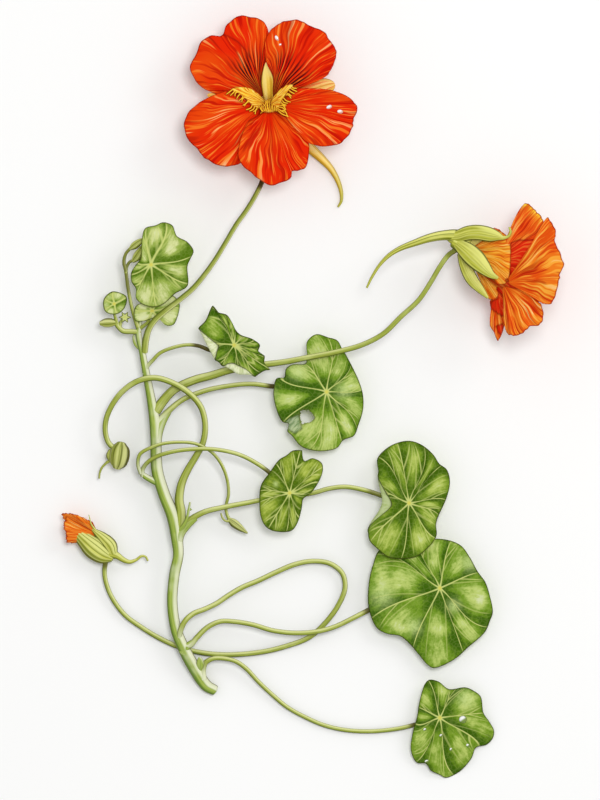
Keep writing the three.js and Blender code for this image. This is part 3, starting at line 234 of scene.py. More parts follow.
class Shape:
    """Parts of one piece: points in millimetres, groups of faces, and values on the points or the faces."""

    def __init__(self):
        self.parts = []

    def add(self, points, faces, values, face_values=None):
        """Adds points, groups of faces by their numbers, and values."""
        self.parts.append((points, faces, values, face_values or {}))
        return self

    def tube(self, route, sides, steps, marks=None, **form):
        """Adds a tube. `marks` gives more values, or other ones, from those that the tube has."""
        points, faces, values = tube(route, sides, steps, **form)
        return self.add(points, faces, values | (marks(values) if marks else {}))

    def piece(self, name, skin):
        """The shape as an object at the origin, in metres. A value that a part lacks is 0 there."""
        corners, start = [], 0
        for points, faces, _, _ in self.parts:
            for cells in faces:
                corners.extend((cells + start).tolist())
            start += len(points)
        mesh = bpy.data.meshes.new(name)
        mesh.from_pydata(np.vstack([part[0] for part in self.parts]) * MM, [], corners, shade_flat=False)
        points_of = [len(points) for points, _, _, _ in self.parts]
        faces_of = [sum(map(len, faces)) for _, faces, _, _ in self.parts]
        for domain, at, counts in (("POINT", 2, points_of), ("FACE", 3, faces_of)):
            for key in sorted(set().union(*(part[at] for part in self.parts))):
                layer = mesh.attributes.new(key, "FLOAT", domain)
                given = [
                    np.broadcast_to(part[at].get(key, 0.0), count) for part, count in zip(self.parts, counts)
                ]
                layer.data.foreach_set("value", np.concatenate(given).astype(np.float32))
        mesh.materials.append(skin)
        made = bpy.data.objects.new(name, mesh)
        bpy.context.scene.collection.objects.link(made)
        return made


PAINTED_LIGHT_FROM = np.array([0.51, 0.61, 0.61])  # direction of the painted light: the side of a stalk that faces it is painted paler, the far side darker
LEAST_RADIUS = 0.05
END_RINGS = 3
END_BULGE = 0.4  # how far a tube's rounded end stands out, as a share of its radius
END_TIP = 0.02  # how far the last point stands out past that


def tube(route, sides, steps, flat=1.0, ribs=0, rib_depth=0.0, up=(0, 0, 1), bend=0.0):
    """A section carried along a smooth route of rows (x, y, z, radius).

    The section is an ellipse, `flat` times as thick along `up` as it is wide. Its reach swells by `rib_depth`
    times a cosine that goes round `ribs` times, and `bend` cups a flat section by a squared cosine. A few
    rings that narrow as a cosine while they move out as a sine round each end off.
    """
    path = np.linspace(0, 1, steps + 1)
    rows = curve(route, path)
    centre, radius = rows[:, :3], np.maximum(rows[:, 3], LEAST_RADIUS)
    ahead = unit(np.gradient(centre, axis=0))
    across = unit(np.cross(ahead, np.array(up, float)))
    above = np.cross(across, ahead)
    turn = np.linspace(0, np.pi / 2, END_RINGS + 2)[1:-1]
    index = np.concatenate([np.zeros(END_RINGS, int), np.arange(steps + 1), np.full(END_RINGS, steps)])
    narrow = np.concatenate([np.cos(turn[::-1]), np.ones(steps + 1), np.cos(turn)])
    push = np.concatenate([-np.sin(turn[::-1]), np.zeros(steps + 1), np.sin(turn)])
    rings = len(index)

    angle = 2 * np.pi * (np.arange(sides) + 0.5) / sides
    wide, high = np.cos(angle), np.sin(angle)
    reach = (radius[index] * narrow)[:, None] * (1 + rib_depth * np.cos(ribs * angle))
    cup = bend * (wide**2 - 0.5) * reach
    across, above, ahead = across[index][:, None], above[index][:, None], ahead[index]
    middle = centre[index] + ahead * (push * END_BULGE * radius[index] * flat)[:, None]
    points = middle[:, None] + across * (wide * reach)[..., None]
    points += above * (high * reach * flat + cup)[..., None]
    ends = [middle[0] - ahead[0] * END_TIP * radius[0], middle[-1] + ahead[-1] * END_TIP * radius[-1]]

    j, k, number = np.arange(sides), (np.arange(sides) + 1) % sides, rings * sides
    first_cap = np.column_stack([j, k, np.full(sides, number)])
    last_cap = np.column_stack([number - sides + k, number - sides + j, np.full(sides, number + 1)])
    gone = np.append(0, np.cumsum(np.linalg.norm(np.diff(centre, axis=0), axis=1)))
    facing = unit(across * (wide * flat)[:, None] + above * high[:, None])

    def on_points(grid, last=0.0):
        return np.append(np.broadcast_to(grid, (rings, sides)).ravel(), [0.0, last])

    values = {
        "share": on_points(path[index][:, None], last=1.0),
        "along": on_points(gone[index][:, None], last=gone[-1]),
        "flank": on_points(wide),
        "rib": on_points(np.cos(ribs * angle) if ribs else 0.0),
        # how far the skin faces the painted light's direction; the finishes paint a highlight and a shade from
        # it
        "lit": on_points(facing @ PAINTED_LIGHT_FROM),
    }
    return np.vstack([points.reshape(-1, 3), ends]), [quads(rings, sides, True), first_cap, last_cap], values


def shell(grid, half, closed, values, face_values=None, keep=None):
    """A thin blade round a grid of points, thinning out to its margin, with its faces outward.

    A closed grid has its pole in the first row; an open one that faces down is turned over. The two faces lie
    `half` above and below the grid along its normals. Cells that `keep` leaves out make a hole with its own
    walls.
    """
    rows, columns = grid.shape[:2]
    values = {key: np.broadcast_to(value, (rows, columns)) for key, value in values.items()}
    if closed:
        wrapped = np.concatenate([grid[:, -1:], grid, grid[:, :1]], axis=1)
        around = (wrapped[:, 2:] - wrapped[:, :-2]) / 2
    else:
        around = np.gradient(grid, axis=1)
    normal = unit(np.cross(np.gradient(grid, axis=0), around))
    if closed:
        normal[0] = unit(normal[1:3].mean(axis=(0, 1)))
    elif normal[..., 2].mean() < 0:
        grid, normal, half = grid[:, ::-1], -normal[:, ::-1], half[:, ::-1]
        values = {key: value[:, ::-1] for key, value in values.items()}
    top = (grid + normal * half[..., None]).reshape(-1, 3)
    low = (grid - normal * half[..., None]).reshape(-1, 3)

    cells = quads(rows, columns, closed)
    kept = np.ones(len(cells), bool) if keep is None else keep.ravel()
    number = rows * columns
    used = np.ones(number, bool)
    if closed:  # the pole is one point, so its row's other points aren't used
        cells[:columns, :2] = 0
        used[1:columns] = False
    chosen = cells[kept]
    if keep is not None:
        touched = np.zeros(number, bool)
        touched[chosen] = True
        used &= touched
    fans = np.arange(len(cells))[kept] < (columns if closed else 0)
    top_faces = [chosen[fans][:, 1:], chosen[~fans]] if closed else [chosen]
    # Walls: every side of a kept cell that no other kept cell shares.
    lines = np.concatenate([chosen[:, [k, (k + 1) % 4]] for k in range(4)])
    lines = lines[lines[:, 0] != lines[:, 1]]
    single = ~np.isin(lines[:, 1] * number + lines[:, 0], lines[:, 0] * number + lines[:, 1])
    a, b = lines[single].T
    wall = np.column_stack([b + number, a + number, a, b])

    used = np.tile(used, 2)
    renumbered = np.cumsum(used) - 1
    faces = [f[:, ::-1] for f in top_faces] + [f + number for f in top_faces] + [wall]
    both = {key: np.tile(value.ravel(), 2)[used] for key, value in values.items()}
    both["upper"] = np.repeat([1.0, 0.0], number)[used]
    of_faces = {}
    for key, value in (face_values or {}).items():
        value = value.ravel()[kept]
        value = np.concatenate([value[fans], value[~fans]])
        of_faces[key] = np.concatenate([value, value, np.zeros(len(wall))])
    return np.vstack([top, low])[used], [renumbered[f] for f in faces], both, of_faces


# ---------------------------------------------------------------- leaves

RIM_STEPS = 1200
LARGE_LEAF = 9  # mean reach past which a leaf has larger grid cells
LEAF_CELL = 0.46
SMALL_LEAF_CELL = 0.3
YOUNG_VEINS = 1.35  # how much wider a young leaf's veins are
MARGIN_ROLL = 0.6  # radius at which a leaf margin curls over
UNFOLDED = 0.985  # share of the way out from which a fold counts as none
VEIN_BEND = 0.17  # how far a vein may turn aside, in radians
VEIN_FURROW = 0.1  # how deep the blade sinks along its veins
QUILTING = 0.1  # how far it puffs up and down between them
QUILTED_LEAF = 6  # mean reach past which it does
WARP = 0.12  # how far its margin waves
THINNING = 1.2  # distance from its margin at which a blade starts to thin out

# Where each blade joins its stalk, its main veins in degrees, its form, and its outline round that place as x,
# y and, where the margin folds over, the share of the way out at which it does.
LEAVES = {
    "leaf_a": {
        "centre": (-53.1, 43.6, 14.4), "veins": (71, 97, 173, -154, -128, -83, -27, 12), "dish": -1.2,
        "puff": 0.7,
        "rim": [
            (4, 14), (7, 13), (8.5, 9.5), (12, 7.5), (14, 4.5), (13, 2), (12, -0.5), (12, -7), (8, -9.5),
            (4, -13), (1, -14), (-3, -13), (-5, -11), (-5, -8), (-6.5, -5.5), (-6.5, -2.5), (-5, 0),
            (-3.5, 2), (-3, 8.5), (-2, 12), (1.5, 13),
        ],
    },
    "leaf_b": {
        "centre": (-52.8, 28.4, 10.2), "veins": (5, 65, 120, 175, -120, -50), "puff": 0.3, "dish": -0.4,
        "rim": [
            (9, 0.5), (9, 2.5), (7, 5), (3, 4.5), (-1.5, 3), (-5, 2), (-6, 0), (-5.6, -3.2), (-3.5, -3.5),
            (2, -2.5), (4.5, -4.8), (7, -4.6), (8.2, -2.5),
        ],
    },
    "leaf_c": {
        "centre": (-65.3, 30.7, 10.4), "veins": (95, 30, 150, -150, -70), "puff": 0.25, "dish": 0.0,
        "rim": [(-1, 4), (1, 4), (4, 2.5), (4, 0), (2.5, -2.5), (0, -3.5), (-3, -2.5), (-3.5, 1.5)],
    },
    "leaf_d": {
        "centre": (-25.7, 17.1, 12.9), "veins": (121, 108, 88, 48, 14, -6, -22, -34, -46, -72, -128, 168),
        "dish": 1.4, "puff": 0.7,
        "rim": [
            (-7, 13), (-5.7, 11), (-2.5, 10), (-1, 8), (0.5, 5), (2, 3.5), (6, 2), (8.5, 0), (8, -2),
            (10, -3.5), (10, -6), (12, -8), (10, -8.5), (7.3, -10.2), (6.3, -11.4, 0.8), (2.2, -12.9, 0.68),
            (-3, -8.8, 0.74), (-5.2, -5.6), (-7.7, -4.8, 0.78), (-12.9, 0, 0.63), (-12.5, 4.8, 0.82),
            (-11.5, 6), (-9.5, 8),
        ],
    },
    "leaf_e": {
        "centre": (4.8, 1.7, 8.2), "veins": (89, 48, 3, -51, -73, -107, -145, 162, 128),
        "slope": (-0.03, 0.01), "dish": -1.2, "puff": 0.8,
        "rim": [
            (-3.5, 19), (0.5, 18), (3.5, 17), (5, 14.5), (6.5, 12), (10.5, 4), (12, -1), (12, -6),
            (10.5, -11), (9, -14.5), (5.5, -16), (3.5, -18.5), (0, -19.5), (-4, -19.5), (-8.5, -18),
            (-11.5, -14.5), (-13, -13), (-12.6, -10.6), (-14.5, -10), (-16, -7.5), (-17.5, -2), (-17.5, 1),
            (-16.5, 4.5), (-14, 4.8), (-13.5, 7.5), (-11.5, 9), (-7, 9.4), (-6.5, 12), (-6.5, 16.5),
        ],
    },
    "leaf_f": {
        "centre": (-7.4, -31.7, 10.5), "veins": (76, 115, 176, -163, -121, -95, -68, 0, 20, 38), "dish": -0.8,
        "puff": 0.6,
        "rim": [
            (1, 14), (4.4, 13.9), (4.2, 12.5), (4.9, 10.6), (7.5, 11.5), (10.5, 10), (11, 8), (10, 4.5),
            (7, 0), (4.5, -2), (4, -5), (2.5, -10), (0.5, -12.5), (-5.5, -12.5), (-8, -11), (-9.5, -8),
            (-10, -2.5), (-9.5, 2.5), (-6.5, 7), (-3.5, 11), (-1, 12.5),
        ],
    },
    "leaf_g": {
        "centre": (32, -35, 9.3), "veins": (101, 75, 49, 5, -22, -53, -98, -135, 163, 124),
        "slope": (0.03, 0.01), "dish": -0.9, "puff": 0.8,
        "rim": [
            (-10.5, 14.5), (-7.5, 18), (-3.5, 20), (0.5, 20.5), (4.5, 19), (8, 16), (10, 13), (12.5, 11),
            (13.5, 7), (12.5, 2), (9, -6.5), (9, -11), (5.5, -15.5), (1.5, -18), (-6.5, -18), (-10, -15.5),
            (-13, -12.5), (-13.6, -9.6), (-14.1, -5.1, 0.7), (-12.2, 0.8, 0.66), (-11.2, 7.5, 0.83),
            (-10.2, 10),
        ],
    },
    "leaf_h": {
        "centre": (42.2, -63.1, 6.6), "veins": (111, 77, 22, -39, -70, -114, -156, 152), "slope": (0, 0.02),
        "dish": -1.4, "puff": 0.9,
        "rim": [
            (-20, 12.5), (-13.5, 14.5), (-7, 16), (2, 16), (7, 14), (10, 10), (12.5, 5.5), (15, 2),
            (16.5, -2.5), (17.5, -8), (16.5, -11), (15, -14.5), (9.5, -19.5), (5, -23.5), (-2, -26.5),
            (-4, -25.5), (-7, -22), (-10, -18.5), (-13, -16), (-18, -15), (-21, -13), (-23.5, -6.5),
            (-23.5, 1.5), (-22, 8),
        ],
    },
    "leaf_i": {
        "centre": (42.2, -106, 4.6), "veins": (107, 60, 6, -36, -76, -118, -167, 154), "slope": (-0.03, 0.03),
        "dish": -2.2, "puff": 0.8,
        "rim": [
            (-3.5, 12.5), (-0.5, 12), (3, 9.5), (8.5, 10), (11, 9), (13.5, 7), (14.5, 1.5), (16.5, -1.5),
            (18, -4.5), (17.5, -7), (15.5, -9), (12, -10), (10.5, -13.5), (6.5, -18), (2, -20), (0, -19),
            (-3, -17.5), (-4.6, -15.2), (-7.5, -15), (-9.5, -11), (-9, -5), (-7.5, 0.5), (-7, 4), (-5, 11),
        ],
    },
    "rosette_leaf": {
        "centre": (-61.8, 26.3, 9.3), "veins": (0, 60, 120, 180, 240, 300), "puff": 0.2, "dish": 0.0,
        "rim": [(r * np.cos(np.pi * k / 6), r * np.sin(np.pi * k / 6)) for k, r in enumerate((2.1, 1.2) * 6)],
    },
}
YOUNG_LEAVES = ("leaf_a", "leaf_b", "leaf_c", "rosette_leaf")
# How yellowish a leaf is.
OLIVE = {"leaf_d": 0.25, "leaf_f": 0.9, "leaf_g": 0.5, "leaf_i": 0.15, "leaf_a": 0.2}
# How much lighter a leaf is than the rest.
TONE = {
    "leaf_a": -0.08, "leaf_b": 0.05, "leaf_c": 0.05, "leaf_d": -0.2, "leaf_e": 0.13, "leaf_f": -0.08,
    "leaf_g": -0.06, "leaf_h": 0.12, "leaf_i": -0.02,
}
# Painted highlight patches on a leaf: middle and radius.
HIGHLIGHT_PATCHES = {
    "leaf_e": [(-4.6, 8.3, 2.4), (10.5, 2, 2.4), (-14, 1, 2)],
    "leaf_f": [(-12, -28.7, 0.8)],
    "leaf_h": [(23.3, -65.7, 3.2), (33.7, -75.9, 2.4), (46.9, -69, 2), (51.8, -54.8, 2.4)],
    "leaf_i": [(50.7, -99.7, 2.6)],
}
EATEN_LEAF = "leaf_e"
HOLE_SNAP = 0.28  # distance from the hole's edge at which the blade's points move onto it
EATEN_HOLE = [
    (-3.9, -4.7), (-3.1, -4.2), (-1.1, -4.4), (0.3, -5.7), (0.8, -7.2), (-0.4, -8.2), (-1.7, -8.5),
    (-3.4, -9.1), (-3.9, -7.2),
]
# The outline of its withered patch.
TORN = [(-8.4, -8), (-7.4, -7.1), (-4.4, -5.9), (-3.9, -7.2), (-3.4, -10.5), (-5.7, -12.1), (-8, -10.6)]


def leaf_blade(name, row, thickness):
    """A leaf blade round the end of its stalk.

    Columns follow the main veins and the middles between them, slightly bent. Height is slope, plus the square
    of the share of the way out times dish, plus a sine across each sector times puff, plus a gentle
    unevenness; the margin curls over along an arc past its fold.
    """
    seed = sum(map(ord, name))
    draw = np.random.default_rng(seed)
    rim = np.array([(x, y, 0, *(rest or (1,))) for x, y, *rest in row["rim"]], float)
    if (rim[:, 0] * np.roll(rim[:, 1], -1) - rim[:, 1] * np.roll(rim[:, 0], -1)).sum() < 0:
        rim = rim[::-1]  # so that it runs anticlockwise
    mean_reach = np.hypot(rim[:, 0], rim[:, 1]).mean()
    fine = curve(rim, np.linspace(0, 1, RIM_STEPS, endpoint=False), closed=True)
    bearing = np.maximum.accumulate(np.unwrap(np.arctan2(fine[:, 1], fine[:, 0])))
    veins = np.sort(np.radians(np.array(row["veins"], float)) % (2 * np.pi))
    ends = np.append(veins, veins[0] + 2 * np.pi)
    cell = LEAF_CELL if mean_reach > LARGE_LEAF else SMALL_LEAF_CELL
    vein_bend = draw.uniform(-VEIN_BEND, VEIN_BEND, len(veins))
    vein_bend = np.append(vein_bend, vein_bend[0])
    columns = []  # the bearing, sector, phase and bend of each, and its share of the way from vein to vein
    for k, wide in enumerate(np.diff(ends)):
        steps = 2 * max(3, round(wide * mean_reach / cell / 2))
        share = np.arange(steps) / steps
        phase = np.where(share < 0.5, *draw.uniform(0, 1, 2))
        bend = vein_bend[k] * (1 - share) + vein_bend[k + 1] * share
        columns.append([ends[k] + share * wide, np.full(steps, wide), phase, bend, share])
    angle, sector, phase, bend, from_vein = np.concatenate(columns, axis=1)
    side = np.minimum(from_vein, 1 - from_vein)
    rows = max(8, round(mean_reach / cell))
    way = 1 - (1 - np.linspace(0, 1, rows + 1)[:, None]) ** 1.15
    turned = angle + bend * (way * (1 - way)) * 4
    wrap = (turned - bearing[0]) % (2 * np.pi) + bearing[0]

    def at_rim(values):
        return np.interp(wrap, np.append(bearing, bearing[0] + 2 * np.pi), np.append(values, values[0]))

    far, folds = at_rim(np.hypot(fine[:, 0], fine[:, 1])), at_rim(fine[:, 3])
    folds = np.where(folds > UNFOLDED, 1.0, folds)
    out = way * far
    past = out - far * folds
    curl = np.pi * MARGIN_ROLL
    rolled = np.clip(past, 0, curl) / MARGIN_ROLL
    distance = np.minimum(out, far * folds) + MARGIN_ROLL * np.sin(rolled) - np.maximum(past - curl, 0)
    x, y = distance * np.cos(turned), distance * np.sin(turned)
    flat = np.stack([x, y], axis=-1)
    away = distance / mean_reach
    gap = distance * np.sin(np.minimum(side * sector, 1.3))
    slope = row.get("slope", (0, 0))
    height = slope[0] * x + slope[1] * y + row["dish"] * away**2
    height += row["puff"] * np.sin(np.pi * from_vein) * np.minimum(1, away * 1.4)
    height += QUILTING * ripple(flat * 0.8, seed + 1) * smooth(gap / 1.5) * (mean_reach > QUILTED_LEAF)
    height -= VEIN_FURROW * bell(gap / 0.35) * smooth(away * 4)
    height += WARP * ripple(flat * 0.35, seed) * away + MARGIN_ROLL * (1 - np.cos(rolled))
    grid = np.dstack([x, y, height]) + np.array(row["centre"], float)
    x, y = grid[..., 0].copy(), grid[..., 1].copy()
    # painted highlight patches
    patches = [bell(np.hypot(x - px, y - py) / radius) for px, py, radius in HIGHLIGHT_PATCHES.get(name, [])]
    # fold: a dark line where the margin folds over, painted shade in the crease
    values = {
        "gap": gap, "out": way, "reach": out, "middle": 2 * side, "rim": far - out, "bloom": sum(patches),
        "turned": past > curl * 0.45, "fold": bell((far - out) / 0.5) * (folds < 0.97),
        "olive": OLIVE.get(name, 0.0), "tone": TONE.get(name, 0.0),
    }
    keep = None
    if name == EATEN_LEAF:
        near, best = to_outline(x, y, EATEN_HOLE)
        grid[..., :2] = np.where((best < HOLE_SNAP)[..., None], near, grid[..., :2])
        wrapped = np.concatenate([grid, grid[:, :1]], axis=1)
        centres = (wrapped[:-1, :-1] + wrapped[1:, :-1] + wrapped[:-1, 1:] + wrapped[1:, 1:]) / 4
        keep = ~inside(centres[..., 0], centres[..., 1], EATEN_HOLE)
        torn = signed_distance(grid[..., 0], grid[..., 1], TORN)
        values |= {
            "hole": bell(best / 0.4), "torn": smooth(0.5 - torn / 0.5),
            "fold": np.maximum(values["fold"], 0.8 * bell(torn / 0.3)),
        }
    half = thickness / 2 * np.sqrt(np.clip((far - out) / THINNING, 0.06, 1))
    return shell(grid, half, True, values, {"phase": np.broadcast_to(phase, (rows, len(phase)))}, keep)


# ---------------------------------------------------------------- stalks

SOLID_LEAF_THICKNESS = 0.7


def under(name, radius):
    """Where a leaf stalk of this radius ends, under the solid of the blade that it carries."""
    x, y, z = LEAVES[name]["centre"]
    return (x, y, z - SOLID_LEAF_THICKNESS / 2 - 0.5 * radius, radius)


MAIN_STEM = [
    (-32.2, -97, 1.45, 1.75), (-35, -95.4, 1.55, 1.95), (-38.6, -90.1, 3, 2.1), (-42.2, -83.5, 4.8, 2),
    (-44.9, -76.9, 5.5, 1.85), (-46.2, -68, 6, 1.75), (-45.5, -58.7, 6.4, 1.75), (-44.2, -52.1, 6.7, 1.75),
    (-44.6, -47.2, 6.8, 1.95), (-45.9, -39.6, 7, 2.15), (-48.8, -32.3, 7, 2), (-51.2, -24.1, 7, 1.95),
    (-51.6, -14.2, 7, 1.85), (-52, -7.6, 7.1, 1.85), (-53.1, -1, 7.3, 1.5), (-54.5, 6.3, 7.6, 1.3),
    (-56.1, 14.9, 8, 1.1), (-57.3, 21.1, 8, 1), (-56.8, 25.4, 7.8, 0.7),
]
STEM_OUTGROWTHS = [
    [(-51.6, -17, 7, 1.8), (-51, -12, 7, 1.7), (-49.4, -8, 6.9, 1.4), (-47.4, -5, 6.8, 0.95)],
    [(-44.6, -48.5, 6.8, 1.85), (-43.8, -45.2, 7, 1.8), (-41.6, -42.5, 7.1, 1.5), (-38.6, -40.1, 7.3, 1)],
    [(-42.6, -84.5, 5, 1.7), (-41.2, -82.4, 5.6, 1.25), (-39.2, -80.8, 5.8, 0.9)],
    [(-51.5, -28.1, 7, 1.2), (-54.8, -26.4, 7, 1), (-56.3, -25.2, 7.1, 0.85)],
    [(-44.4, -45.2, 7.4, 0.9), (-41.6, -40.9, 9.4, 0.55), (-40.9, -38.3, 9.8, 0.45), (-40.3, -34.8, 10, 0.35)],
    [(-41.1, -37.6, 9.8, 0.4), (-39.9, -37, 9.9, 0.35)],
]
LEAF_SCALES = [
    [(-37.4, -91.2, 3.6, 0.5), (-37, -88.6, 5, 1.3), (-37.1, -86.8, 5.4, 1), (-37.4, -86, 5.5, 0.3)],
    [(-56.4, 15.2, 7.6, 0.4), (-58, 17.4, 7.4, 0.8), (-58.7, 19.6, 7.2, 0.7), (-58.8, 20.8, 7.2, 0.3)],
]

